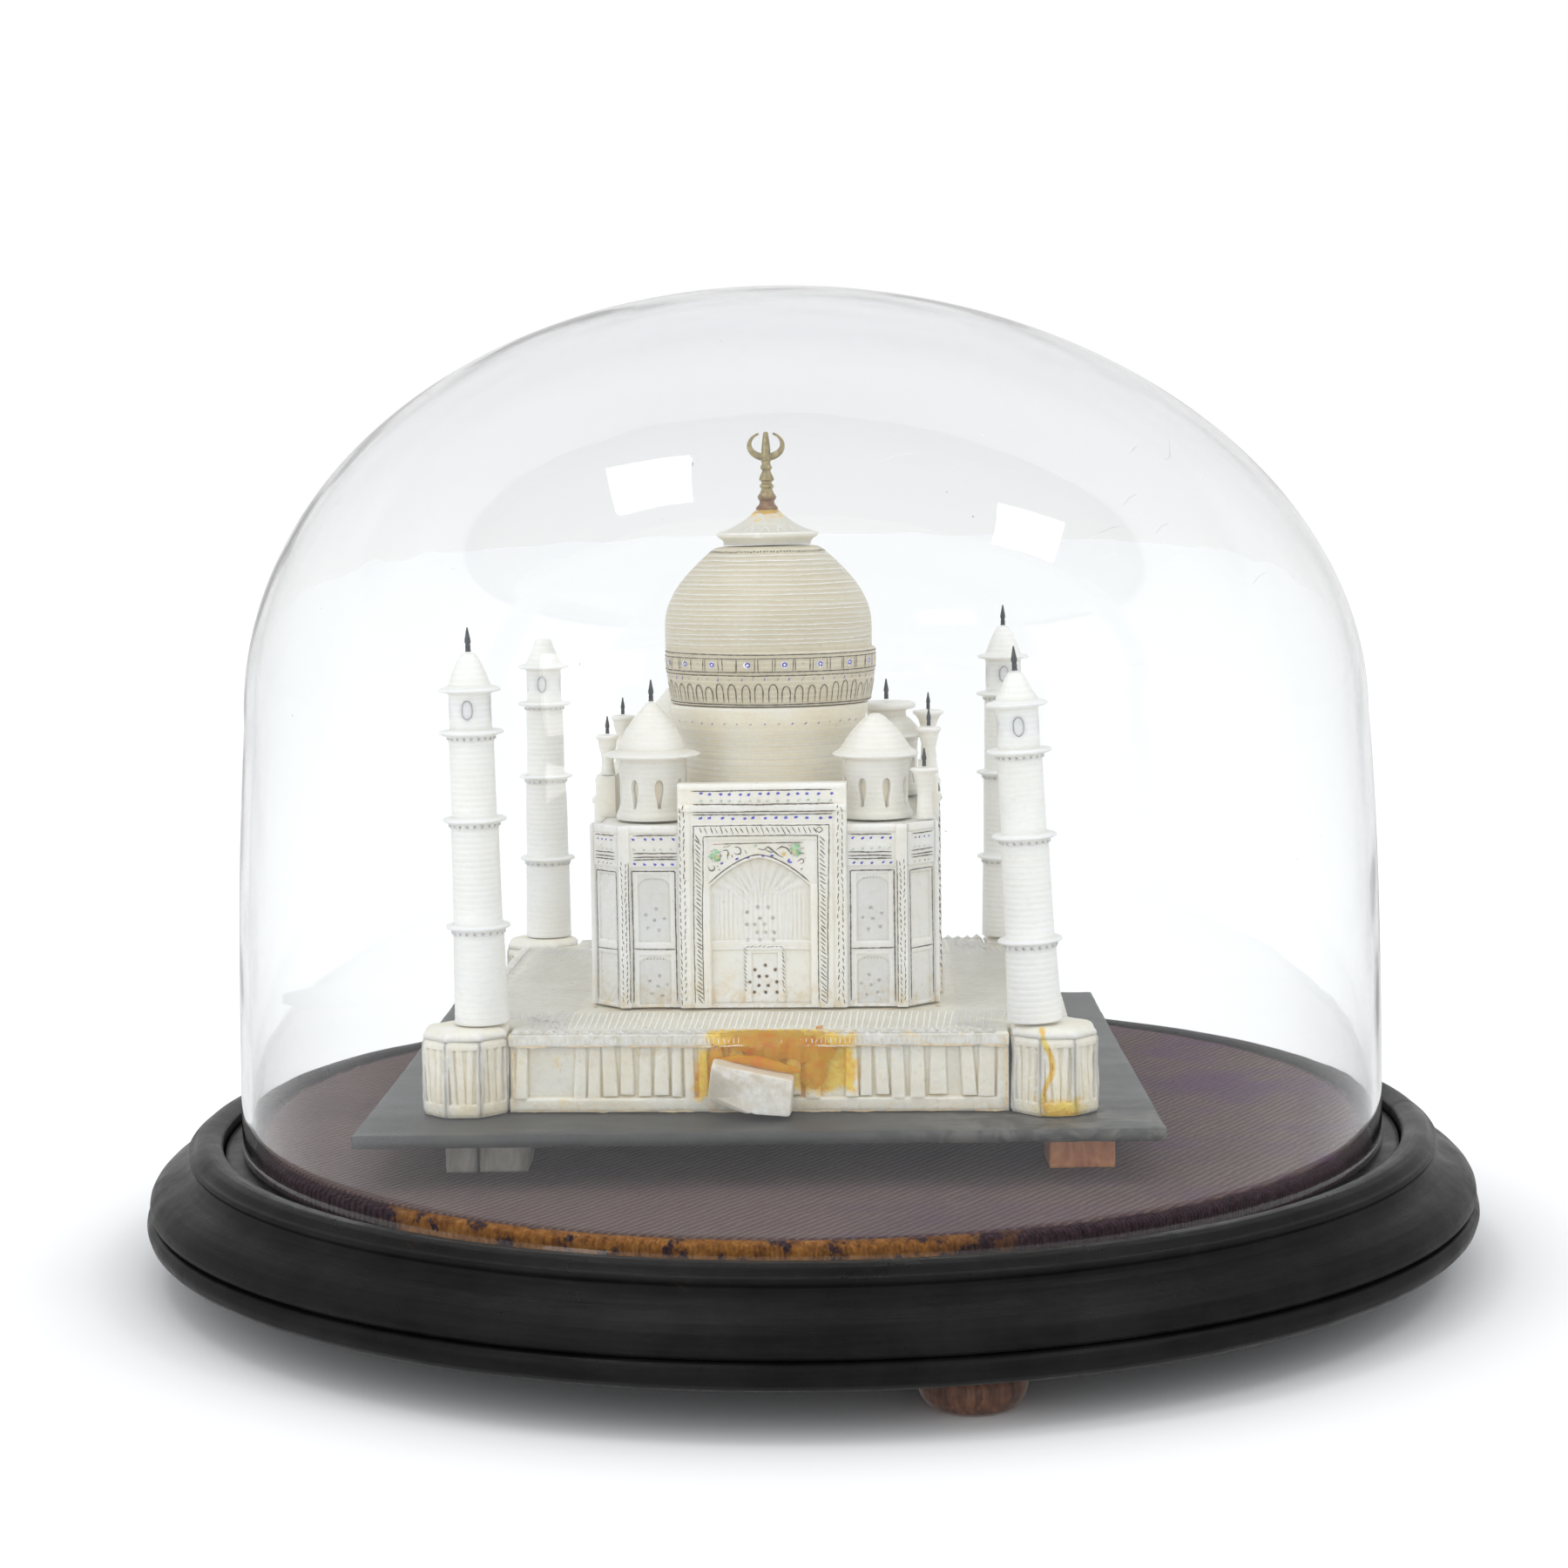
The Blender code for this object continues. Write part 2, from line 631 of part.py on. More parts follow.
def make_pinnacles(materials, building):
    """The pinnacles that are left, on the edges of the side portals and on one corner, each with its pin."""
    right_line = PORTAL_FACE - 2.3
    left_line = 3.2 - PORTAL_FACE
    corner_line = WALL_PLANE - 2.4
    on_portal = PORTAL_TOP + TOUCH_GAP
    on_roof = ROOF_TOP + TOUCH_GAP
    spacing = PORTAL_PINNACLE_SPACING
    pinnacles = {
        "right_front": (right_line, -spacing, on_portal, 10.8, 3.1, 1.9),
        "right_rear": (right_line, spacing, on_portal, 12.2, 3.9, 2.0),
        "left_front": (left_line, -spacing, on_portal, 9.6, 2.8, 1.8),
        "left_rear": (left_line, spacing, on_portal, 11.6, 3.0, 1.9),
        "right_corner": (corner_line, -WALL_PLANE + CORNER_CUT + 1.6, on_roof, 12.2, 3.4, 2.0),
    }
    pin = pin_mesh("pinnacle_pin", 4.3, 0.55)
    for name, (x, y, foot, height, cap_radius, stem_radius) in pinnacles.items():
        profile = pinnacle_profile(height, cap_radius, stem_radius)
        mesh = to_mesh("pinnacle_" + name, lathe(profile, 10))
        add_object("pinnacle_" + name, mesh, materials["alabaster"], building, (x, y, foot))
        place = (x, y, foot + height + TOUCH_GAP)
        add_object("pinnacle_pin_" + name, pin, materials["iron"], building, place)


def minaret_profile(balconies, eave, top, tip_radius):
    """A tapering shaft with three balconies, a kiosk and a bell-shaped roof, from its foot at height 0."""
    profile = [(0, top), (tip_radius, top), (2.8, top - 2.0), (4.5, eave + 1.7)]
    profile += [(7.1, eave + 0.4), (6.9, eave - 0.2), (MINARET_KIOSK_RADIUS - 0.1, eave - 0.8)]
    radius = MINARET_KIOSK_RADIUS
    for level, below in zip(reversed(balconies), (5.1, 5.55, 5.8)):
        profile += [(radius, level + 0.2), (7.3, level), (7.2, level - 1.0), (below, level - 1.9)]
        radius = below
    return profile + [(6.2, 0), (0, 0)]


def make_minarets(materials, model):
    """Four minarets glued on the bastions. Two lean, one of them is shorter, and one has lost its tip."""
    window = arc((0, 0), (1.2, 2.1), 0, 300, 5)
    window_mesh = to_mesh("kiosk_window", upright_plate(window, -9, 9), smooth=False)
    minaret_pin = pin_mesh("minaret_pin", 5.6, 0.7)
    for name, (x, y, lean, balconies, eave, top) in MINARETS.items():
        tilt_gap = 6.3 * math.sin(math.radians(abs(lean)))
        stand_place = (x, y, BASTION_HEIGHT + TOUCH_GAP + tilt_gap)
        stand = frame_at("minaret_frame_" + name, model, stand_place, (0, lean, 0))
        tip_radius = 1.9 if name == TIPLESS_MINARET else 1.5
        profile = minaret_profile(balconies, eave, top, tip_radius)
        mesh = to_mesh("minaret_" + name, lathe(profile, 14))
        minaret = add_object("minaret_" + name, mesh, materials["alabaster"], stand)
        window_height = (balconies[-1] + eave) / 2 + 0.2
        for turn in (0, 90):
            carve(minaret, window_mesh, stand, (0, 0, window_height), (0, 0, turn))
        if name != TIPLESS_MINARET:
            tip = (0, 0, top + TOUCH_GAP)
            add_object("minaret_pin_" + name, minaret_pin, materials["iron"], stand, tip)


def make_part():
    clear_scene()
    materials = make_materials()
    make_base(materials)
    make_glass(materials)
    make_packing(materials)
    lift = frame_at("model_lift_axis")
    make_slab(materials, lift)
    place = (MODEL_CENTRE[0], MODEL_CENTRE[1], SLAB_TOP + TOUCH_GAP)
    model = frame_at("model_frame", lift, place, (0, 0, MODEL_TURN))
    make_terrace(materials, model)
    make_building(materials, model)
    make_turrets(materials, model)
    make_pinnacles(materials, model)
    make_minarets(materials, model)


make_part()
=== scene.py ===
"""Looks for the souvenir mausoleum under its glass dome: carved, turned and inked alabaster on a slate slab,
faded velvet on the pad, an ebonised base, and blown glass over it.

Local shapes are written in millimetres, in the frame of the piece that they belong to. The model's frame has its
origin on the slab under the middle of the building, with the front facing -Y.
"""

import math

import bmesh
import bpy
import numpy as np
from mathutils import Matrix, Vector


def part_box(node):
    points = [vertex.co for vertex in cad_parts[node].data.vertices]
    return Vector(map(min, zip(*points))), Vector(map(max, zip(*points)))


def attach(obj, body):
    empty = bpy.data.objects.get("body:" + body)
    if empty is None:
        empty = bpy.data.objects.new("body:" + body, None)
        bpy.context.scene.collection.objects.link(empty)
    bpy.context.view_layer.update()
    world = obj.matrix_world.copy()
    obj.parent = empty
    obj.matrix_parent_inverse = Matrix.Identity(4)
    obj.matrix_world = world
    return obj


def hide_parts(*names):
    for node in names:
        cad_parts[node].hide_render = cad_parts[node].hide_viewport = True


MM = 0.001
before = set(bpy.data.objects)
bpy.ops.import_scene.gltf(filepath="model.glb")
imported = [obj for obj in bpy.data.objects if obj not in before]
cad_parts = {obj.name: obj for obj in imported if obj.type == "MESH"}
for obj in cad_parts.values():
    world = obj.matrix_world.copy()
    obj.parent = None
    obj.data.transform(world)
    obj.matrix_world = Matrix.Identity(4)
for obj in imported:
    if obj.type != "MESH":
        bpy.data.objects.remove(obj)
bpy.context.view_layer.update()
FINE = 1.0


# ---------------------------------------------------------------- places taken from the CAD

def centre(node):
    low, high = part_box(node)
    return (low + high) / 2


def top(node):
    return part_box(node)[1].z / MM


def bottom(node):
    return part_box(node)[0].z / MM


def below(level, *points):
    """(radius, height) points of a profile from (radius, drop) pairs under a level."""
    return [(radius, level - drop) for radius, drop in points]


MODEL_TURN = -2.8
SLAB_TURN = -0.9
model_centre = centre("main_dome")
MODEL = Matrix.Translation((model_centre.x, model_centre.y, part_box("bastion_front_left")[0].z))
MODEL = MODEL @ Matrix.Rotation(math.radians(MODEL_TURN), 4, "Z")
MODEL_BASE = MODEL.translation.z / MM
FLOOR_TOP = top("terrace_floor") - MODEL_BASE
ROOF_TOP = top("mausoleum_body") - MODEL_BASE
PORTAL_TOP = top("portal_front") - MODEL_BASE


def in_model(node):
    """The middle of a node in the model's frame, in millimetres."""
    return (MODEL.inverted() @ centre(node)) / MM


def high_of(node):
    return top(node) - MODEL_BASE


def low_of(node):
    return bottom(node) - MODEL_BASE


def at(x, y, z, turn=0.0, lean=0.0):
    """A frame at this place in the model's frame, turned about Z and leaning to the side, in degrees."""
    place = MODEL @ Matrix.Translation(Vector((x, y, z)) * MM)
    turned = Matrix.Rotation(math.radians(turn), 4, "Z")
    return place @ turned @ Matrix.Rotation(math.radians(lean), 4, "Y")


# ---------------------------------------------------------------- mesh helpers

def ripple(seed, *axes, octaves=5, scale=1.0):
    """Smooth, repeatable unevenness between about -1 and 1 over arrays of coordinates."""
    dice = np.random.default_rng(seed)
    total = 0.0
    weight = 0.0
    for octave in range(octaves):
        size = 2.0**octave / scale
        share = 0.62**octave
        for _ in range(3):
            phase = dice.uniform(0, 2 * math.pi)
            way = dice.normal(size=len(axes))
            way /= np.linalg.norm(way) + 1e-9
            path = sum(w * a for w, a in zip(way, axes))
            total = total + share * np.sin(path * size * dice.uniform(0.7, 1.3) + phase)
            weight += share * 0.6
    return total / weight


def round_angles(count):
    return np.linspace(0, 2 * math.pi, count, endpoint=False)


class Solid:
    """Collects points and faces, in millimetres, for one piece."""

    def __init__(self):
        self.points = []
        self.faces = []
        self.slots = []
        self.uvs = []
        self.count = 0

    def add(self, points, faces, slot=0, uvs=None):
        points = np.asarray(points, float).reshape(-1, 3)
        self.points.append(points)
        self.faces.extend([[corner + self.count for corner in face] for face in faces])
        self.slots.extend([slot] * len(faces))
        self.uvs.append(points[:, [0, 2]] if uvs is None else np.asarray(uvs, float))
        self.count += len(points)

    def take(self, other):
        """Adds everything that another solid has collected."""
        self.faces += [[corner + self.count for corner in face] for face in other.faces]
        self.points += other.points
        self.uvs += other.uvs
        self.slots += other.slots
        self.count += other.count

    def build(self, name, materials, place=None, sharp=40):
        data = bpy.data.meshes.new(name)
        points = np.concatenate(self.points) * MM
        data.from_pydata(points.tolist(), [], self.faces)
        for material in materials:
            data.materials.append(material)
        data.polygons.foreach_set("material_index", np.array(self.slots, np.int32))
        uv_layer = data.uv_layers.new(name="UVMap")
        corners = np.empty(len(data.loops), np.int32)
        data.loops.foreach_get("vertex_index", corners)
        uvs = np.concatenate(self.uvs) * MM
        uv_layer.data.foreach_set("uv", uvs[corners].astype(np.float32).ravel())
        data.validate()
        data.shade_smooth()
        data.set_sharp_from_angle(angle=math.radians(sharp))
        piece = bpy.data.objects.new(name, data)
        bpy.context.scene.collection.objects.link(piece)
        if place is not None:
            piece.matrix_world = place
        return piece


def grid_faces(rows, columns, wrap=False, flip=False):
    """Quads over rows by columns of points. With wrap, the last column joins the first."""
    faces = []
    for row in range(rows - 1):
        for column in range(columns if wrap else columns - 1):
            following = (column + 1) % columns
            face = [
                row * columns + column,
                row * columns + following,
                (row + 1) * columns + following,
                (row + 1) * columns + column,
            ]
            faces.append(face[::-1] if flip else face)
    return faces


def resample(profile, step, soften=0.0):
    """Evenly spaced points along a polyline, with its corners eased over a distance."""
    points = np.asarray(profile, float)
    lengths = np.linalg.norm(np.diff(points, axis=0), axis=1)
    along = np.concatenate([[0], np.cumsum(lengths)])
    count = max(4, int(along[-1] / step) + 1)
    wanted = np.linspace(0, along[-1], count)
    if soften:
        wanted = np.unique(np.concatenate([wanted, along]))
    fine = np.stack([np.interp(wanted, along, points[:, axis]) for axis in range(2)], 1)
    if soften:
        shifts = np.linspace(-1, 1, 7) * soften
        eased = []
        for shift in shifts:
            moved = np.clip(wanted + shift, 0, along[-1])
            eased.append([np.interp(moved, along, points[:, axis]) for axis in range(2)])
        fine = np.mean(eased, axis=0).T
        fine[0] = points[0]
        fine[-1] = points[-1]
    return fine


def lathe(solid, profile, segments, uneven, seed, lean=None):
    """A turned surface from (radius, height) points, listed from the top down the outside."""
    profile = np.asarray(profile, float)
    radius = profile[:, :1]
    height = profile[:, 1:]
    angle = round_angles(segments)[None, :]
    if uneven:
        bumps = ripple(seed, np.cos(angle) * radius, np.sin(angle) * radius, height + 0 * angle, scale=9.0)
        radius = radius + uneven * bumps * np.clip(radius, 0, 1)
    x = radius * np.cos(angle)
    y = radius * np.sin(angle)
    z = height + 0 * angle
    if lean is not None:
        x = x + lean(z)
    points = np.stack([x, y, z], -1).reshape(-1, 3)
    along = np.concatenate([[0], np.cumsum(np.linalg.norm(np.diff(profile, axis=0), axis=1))])
    reach = float(profile[:, 0].max())
    uvs = np.stack([angle * reach + 0 * height, along[:, None] + 0 * angle], -1).reshape(-1, 2)
    solid.add(points, grid_faces(len(profile), segments, wrap=True, flip=True), 0, uvs)


def turned(name, material, profile, segments, uneven, seed, place=None, sharp=50, lean=None):
    """A piece of its own, turned from a profile."""
    solid = Solid()
    lathe(solid, profile, segments, uneven, seed, lean)
    return solid.build(name, [material], place, sharp)


def tube(solid, rings, capped=True, flip=False):
    """A skin over closed rings of points, with its ends closed."""
    count = len(rings[0])
    faces = grid_faces(len(rings), count, wrap=True, flip=flip)
    if capped:
        ends = [list(range(count))[::-1], [(len(rings) - 1) * count + step for step in range(count)]]
        faces += [end[::-1] if flip else end for end in ends]
    solid.add(np.concatenate(rings), faces)


def relief(solid, x_range, z_range, step, depth, thickness, place=None):
    """A carved plate that faces -Y, with depth(x, z) how far its face stands proud, and a flat back."""
    columns, rows = (max(2, int((high - low) / step) + 1) for low, high in (x_range, z_range))
    x, z = np.meshgrid(np.linspace(*x_range, columns), np.linspace(*z_range, rows))
    front = np.stack([x, -depth(x, z), z], -1).reshape(-1, 3)
    faces = grid_faces(rows, columns)
    rim = list(range(columns))
    rim += [row * columns + columns - 1 for row in range(1, rows)]
    rim += [(rows - 1) * columns + column for column in range(columns - 2, -1, -1)]
    rim += [row * columns for row in range(rows - 2, 0, -1)]
    back = front[rim].copy()
    back[:, 1] = thickness
    flat = points = np.concatenate([front, back])
    first = rows * columns
    for index, corner in enumerate(rim):
        following = (index + 1) % len(rim)
        faces.append([corner, first + index, first + following, rim[following]])
    faces.append([first + index for index in range(len(rim))])
    if place is not None:
        points = points @ np.array(place.to_3x3()).T + np.array(place.translation)
    solid.add(points, faces, 0, flat[:, [0, 2]])


def turned_place(x, y, z, turn):
    """A placement in millimetres for relief(): moved, then turned about the frame's own Z."""
    return Matrix.Rotation(math.radians(turn), 4, "Z") @ Matrix.Translation((x, y, z))


def smooth_step(value, edge, width):
    """0 below an edge and 1 above it, with a soft change over a width."""
    share = np.clip((value - edge) / width + 0.5, 0, 1)
    return share * share * (3 - 2 * share)


def inside(value, low, high, width=0.35):
    return smooth_step(value, low, width) * (1 - smooth_step(value, high, width))


class Ink:
    """Pen strokes and painted dots, drawn in (u, v) millimetres and laid on a surface.

    surface(u, v) gives the 3-D points in millimetres, already lifted just clear of the stone.
    """

    def __init__(self, surface, seed):
        self.surface = surface
        self.solid = Solid()
        self.dice = np.random.default_rng(seed)

    def lay(self, outline_pairs, slot):
        flat = np.asarray(outline_pairs, float)
        rows, columns = flat.shape[:2]
        points = self.surface(flat[..., 0].ravel(), flat[..., 1].ravel())
        self.solid.add(points, grid_faces(rows, columns), slot)

    def stroke(self, path, width=0.3, slot=0, wobble=0.06, taper=True):
        """A pen line through these points, a little uneven in place and width."""
        points = resample(path, 0.5)
        count = len(points)
        drift = np.cumsum(self.dice.normal(0, 0.35, (count, 2)), axis=0)
        drift -= np.linspace(0, 1, count)[:, None] * drift[-1]
        points = points + wobble * drift / max(1.0, np.abs(drift).max())
        way = np.gradient(points, axis=0)
        way /= np.linalg.norm(way, axis=1)[:, None] + 1e-9
        side = np.stack([-way[:, 1], way[:, 0]], 1)
        half = width / 2 * (1 + 0.22 * self.dice.normal(size=count).clip(-1.5, 1.5))
        if taper:
            ends = np.minimum(np.arange(count), np.arange(count)[::-1]) / 2
            half *= np.clip(0.45 + ends * 0.5, 0, 1)
        pair = np.stack([points + side * half[:, None], points - side * half[:, None]], 1)
        self.lay(pair, slot)

    def dash(self, x, y, length, angle, width=0.3, slot=0):
        """One short pen mark, centred on a point, at an angle in degrees."""
        turn = math.radians(angle + self.dice.normal(0, 5))
        reach = length / 2 * (1 + 0.15 * self.dice.normal())
        step = np.array([math.cos(turn), math.sin(turn)]) * reach
        middle = np.array([x, y]) + self.dice.normal(0, 0.07, 2)
        self.stroke([middle - step, middle + step], width, slot, wobble=0.02)

    def dot(self, x, y, radius, slot=0, stretch=1.0, angle=0.0):
        """A painted blob."""
        turn = math.radians(angle)
        around = np.linspace(0, 2 * math.pi, 13)
        size = radius * (1 + 0.12 * self.dice.normal(size=13))
        size[-1] = size[0]
        u = np.cos(around) * size * stretch
        v = np.sin(around) * size
        cos, sin = math.cos(turn), math.sin(turn)
        edge = np.stack([x + u * cos - v * sin, y + u * sin + v * cos], 1)
        middle = np.repeat([[x, y]], 13, axis=0) + 0.02 * (edge - [x, y])
        self.lay(np.stack([edge, middle], 1), slot)

    def circle(self, height, reach, count, width, slot, wobble):
        """A line right round a turned piece, whose drawing surface measures u along this radius."""
        around = np.linspace(0, 2 * math.pi * reach, count)
        self.stroke(list(zip(around, height + 0 * around)), width, slot, wobble, taper=False)

    def ring(self, x, y, radius, width, slot=0):
        around = np.linspace(0, 2 * math.pi, 17)
        path = np.stack([x + radius * np.cos(around), y + radius * np.sin(around)], 1)
        way = np.stack([np.cos(around), np.sin(around)], 1) * width / 2
        self.lay(np.stack([path + way, path - way], 1), slot)


# ---------------------------------------------------------------- material helpers

def new_material(name):
    material = bpy.data.materials.new(name)
    material.use_nodes = True
    tree = material.node_tree
    return material, tree, tree.nodes["Principled BSDF"]


def add_node(tree, kind, settings=None, **inputs):
    node = tree.nodes.new(kind)
    for key, value in (settings or {}).items():
        setattr(node, key, value)
    for key, value in inputs.items():
        socket = node.inputs[key.replace("_", " ")]
        if isinstance(value, bpy.types.NodeSocket):
            tree.links.new(value, socket)
        else:
            socket.default_value = value
    return node


def object_place(tree, stretch=(1, 1, 1), turn=(0, 0, 0), source="Object"):
    place = add_node(tree, "ShaderNodeTexCoord").outputs[source]
    mapping = add_node(tree, "ShaderNodeMapping", Vector=place)
    mapping.inputs["Scale"].default_value = stretch
    mapping.inputs["Rotation"].default_value = [math.radians(value) for value in turn]
    return mapping.outputs["Vector"]


def noise(tree, size_mm, detail=4.0, roughness=0.6, vector=None, distortion=0.0):
    """Noise whose features are about this many millimetres across."""
    place = vector or object_place(tree)
    node = add_node(
        tree,
        "ShaderNodeTexNoise",
        Vector=place,
        Scale=1.0 / (size_mm * MM),
        Detail=detail,
        Roughness=roughness,
        Distortion=distortion,
    )
    return node.outputs["Fac"]


def waves(tree, pitch_mm, axis="Z", distortion=0.0, detail=2.0, vector=None):
    """Bands this many millimetres apart along an axis."""
    node = add_node(
        tree,
        "ShaderNodeTexWave",
        {"wave_type": "BANDS", "bands_direction": axis, "wave_profile": "SIN"},
        Vector=vector or object_place(tree),
        Scale=math.pi / (10 * pitch_mm * MM),
        Distortion=distortion,
        Detail=detail,
    )
    return node.outputs["Fac"]


def ramp(tree, factor, *stops):
    """A value or colour ramp from (position, colour or value) stops."""
    node = add_node(tree, "ShaderNodeValToRGB", Fac=factor)
    elements = node.color_ramp.elements
    while len(elements) < len(stops):
        elements.new(0.5)
    for element, (position, colour) in zip(elements, stops):
        element.position = position
        element.color = (colour, colour, colour, 1) if isinstance(colour, (int, float)) else (*colour, 1)
    return node.outputs["Color"]


def blend(tree, factor, first, second, mode="MIX"):
    node = add_node(tree, "ShaderNodeMix", {"data_type": "RGBA", "blend_type": mode})
    for socket, value in ((node.inputs[0], factor), (node.inputs[6], first), (node.inputs[7], second)):
        if isinstance(value, bpy.types.NodeSocket):
            tree.links.new(value, socket)
        elif isinstance(value, (int, float)):
            socket.default_value = value
        else:
            socket.default_value = (*value, 1)
    return node.outputs[2]


def maths(tree, operation, first, second=0.0, third=None, clamp=False):
    node = add_node(tree, "ShaderNodeMath", {"operation": operation, "use_clamp": clamp})
    for socket, value in zip(node.inputs, (first, second, third)):
        if isinstance(value, bpy.types.NodeSocket):
            tree.links.new(value, socket)
        elif value is not None:
            socket.default_value = value
    return node.outputs[0]


def plus(tree, first, second):
    return maths(tree, "ADD", first, second)


def minus(tree, first, second):
    return maths(tree, "SUBTRACT", first, second)


def times(tree, first, second, clamp=False):
    return maths(tree, "MULTIPLY", first, second, clamp=clamp)


def climb(tree, value, start, slope):
    """0 up to a start and 1 well past it, climbing by this slope for each metre."""
    return times(tree, minus(tree, value, start), slope, clamp=True)


def jitter(tree, reach, *noise_settings):
    """Noise shifted to lie about zero, for ragged edges."""
    return times(tree, minus(tree, noise(tree, *noise_settings), 0.5), reach)


def fleck(tree, colour, over, share, field, low, high):
    """A colour with flecks of another over it, where a field climbs from low to high."""
    return blend(tree, times(tree, ramp(tree, field, (low, 0.0), (high, 1.0)), share), colour, over)


def axis_of(tree, axis, vector=None):
    split = add_node(tree, "ShaderNodeSeparateXYZ", Vector=vector or object_place(tree))
    return split.outputs[axis]


def from_axis(tree):
    """How far each point is from the object's own Z axis, in metres."""
    across, along = axis_of(tree, "X"), axis_of(tree, "Y")
    return maths(tree, "SQRT", plus(tree, times(tree, across, across), times(tree, along, along)))


def bump(tree, shader, height, distance_mm, strength=1.0):
    node = add_node(tree, "ShaderNodeBump", Height=height, Distance=distance_mm * MM, Strength=strength)
    below = shader.inputs["Normal"].links
    if below:
        tree.links.new(below[0].from_socket, node.inputs["Normal"])
    tree.links.new(node.outputs["Normal"], shader.inputs["Normal"])


def set_inputs(shader, **values):
    for key, value in values.items():
        shader.inputs[key.replace("_", " ")].default_value = value


def feed(tree, shader, name, source):
    tree.links.new(source, shader.inputs[name])


# ---------------------------------------------------------------- materials

def alabaster(name, pale, warm, rings=None, grime=0.25, glow=0.6, stain=None, glue=None):
    """Translucent carved alabaster, darker and browner in its hollows and chalky along its edges.

    Rings are the fine white scores of the lathe along the piece's own Z, as (pitch, colour, share). A stain is glue
    that crept up from a level, as (level, reach) in millimetres. Glue is amber that has run over the stone where
    its mask says.
    """
    material, tree, shader = new_material(name)
    cloud = ramp(tree, noise(tree, 16, 3, 0.55), (0.36, 0.0), (0.66, 1.0))
    colour = blend(tree, cloud, pale, warm)
    vein = ramp(tree, noise(tree, 7, 5, 0.7, distortion=1.2), (0.485, 0.0), (0.5, 1.0), (0.515, 0.0))
    colour = blend(tree, times(tree, vein, 0.3), colour, [channel * 0.84 for channel in warm])
    if rings:
        pitch, ring_colour, ring_share = rings
        score = ramp(tree, waves(tree, pitch, "Z", 0.7), (0.6, 0.0), (0.92, 1.0))
        patch = ramp(tree, noise(tree, 4, 3, 0.6), (0.3, 0.2), (0.7, 1.0))
        colour = blend(tree, times(tree, times(tree, score, patch), ring_share), colour, ring_colour)
    colour = fleck(tree, colour, (0.44, 0.39, 0.29), grime, noise(tree, 1.6, 6, 0.75), 0.54, 0.78)
    point = add_node(tree, "ShaderNodeNewGeometry").outputs["Pointiness"]
    # the hollows, found by pointiness, are mixed towards a darker brown, the more so the larger grime is
    hollow = ramp(tree, point, (0.44, 1.0), (0.495, 0.0))
    colour = blend(tree, times(tree, hollow, min(0.6, 0.2 + grime)), colour, (0.64, 0.565, 0.41))
    edge = ramp(tree, point, (0.505, 0.0), (0.56, 1.0))
    chalk = times(tree, edge, ramp(tree, noise(tree, 2.2, 4), (0.35, 0.1), (0.65, 0.75)))
    colour = blend(tree, chalk, colour, (0.93, 0.92, 0.885))
    if stain:
        level, reach = stain
        height = times(tree, minus(tree, (level + reach) * MM, axis_of(tree, "Z")), 1 / (reach * MM), clamp=True)
        creep = ramp(tree, noise(tree, 3.2, 5, 0.7), (0.46, 0.0), (0.62, 1.0))
        colour = blend(tree, times(tree, times(tree, height, creep), 0.75), colour, (0.74, 0.56, 0.32))
    if glue:
        ambers = (0.34, (0.78, 0.32, 0.0)), (0.5, (0.88, 0.54, 0.01)), (0.66, (0.92, 0.68, 0.08))
        colour = blend(tree, glue(tree), colour, ramp(tree, noise(tree, 2.6, 6, 0.75), *ambers))
    feed(tree, shader, "Base Color", colour)
    feed(tree, shader, "Roughness", ramp(tree, noise(tree, 3, 4), (0.3, 0.26), (0.7, 0.46)))
    set_inputs(shader, Subsurface_Weight=glow, Subsurface_Scale=0.0032, IOR=1.52)
    shader.inputs["Subsurface Radius"].default_value = (1.0, 0.96, 0.88)
    bump(tree, shader, noise(tree, 0.9, 5, 0.7), 0.12)
    bump(tree, shader, noise(tree, 5, 3, 0.6), 0.3)
    return material


def plain_ink(name, colour, roughness):
    material, tree, shader = new_material(name)
    faded = [min(1, channel * 2.2 + 0.05) for channel in colour]
    worn = ramp(tree, noise(tree, 1.2, 3), (0.4, 0.0), (0.7, 0.55))
    feed(tree, shader, "Base Color", blend(tree, worn, colour, faded))
    set_inputs(shader, Roughness=roughness)
    return material


def ebonised_wood():
    """Black-stained turned wood: satin, with dusty brown patches, fine scratches and rubbed brown flecks."""
    material, tree, shader = new_material("ebonised_wood")
    streaks = object_place(tree, (0.18, 3.0, 1), source="UV")
    long_grain = noise(tree, 5, 6, 0.7, streaks)
    colour = ramp(tree, long_grain, (0.3, (0.004, 0.004, 0.0045)), (0.75, (0.010, 0.0095, 0.010)))
    dust = ramp(tree, noise(tree, 30, 6, 0.7), (0.42, 0.0), (0.72, 0.55))
    colour = blend(tree, dust, colour, (0.020, 0.0185, 0.0175))
    rubbed = noise(tree, 9, 7, 0.8, distortion=0.6)
    colour = fleck(tree, colour, (0.045, 0.028, 0.019), 0.4, rubbed, 0.62, 0.7)
    colour = fleck(tree, colour, (0.24, 0.21, 0.18), 0.5, noise(tree, 0.8, 4, 0.8), 0.72, 0.77)
    feed(tree, shader, "Base Color", colour)
    feed(tree, shader, "Roughness", ramp(tree, noise(tree, 14, 5, 0.7), (0.3, 0.24), (0.7, 0.42)))
    set_inputs(shader, Specular_IOR_Level=0.17)
    scratch = noise(tree, 1.2, 3, 0.6, object_place(tree, (0.05, 6.0, 1), source="UV"))
    bump(tree, shader, scratch, 0.05)
    bump(tree, shader, long_grain, 0.12)
    return material


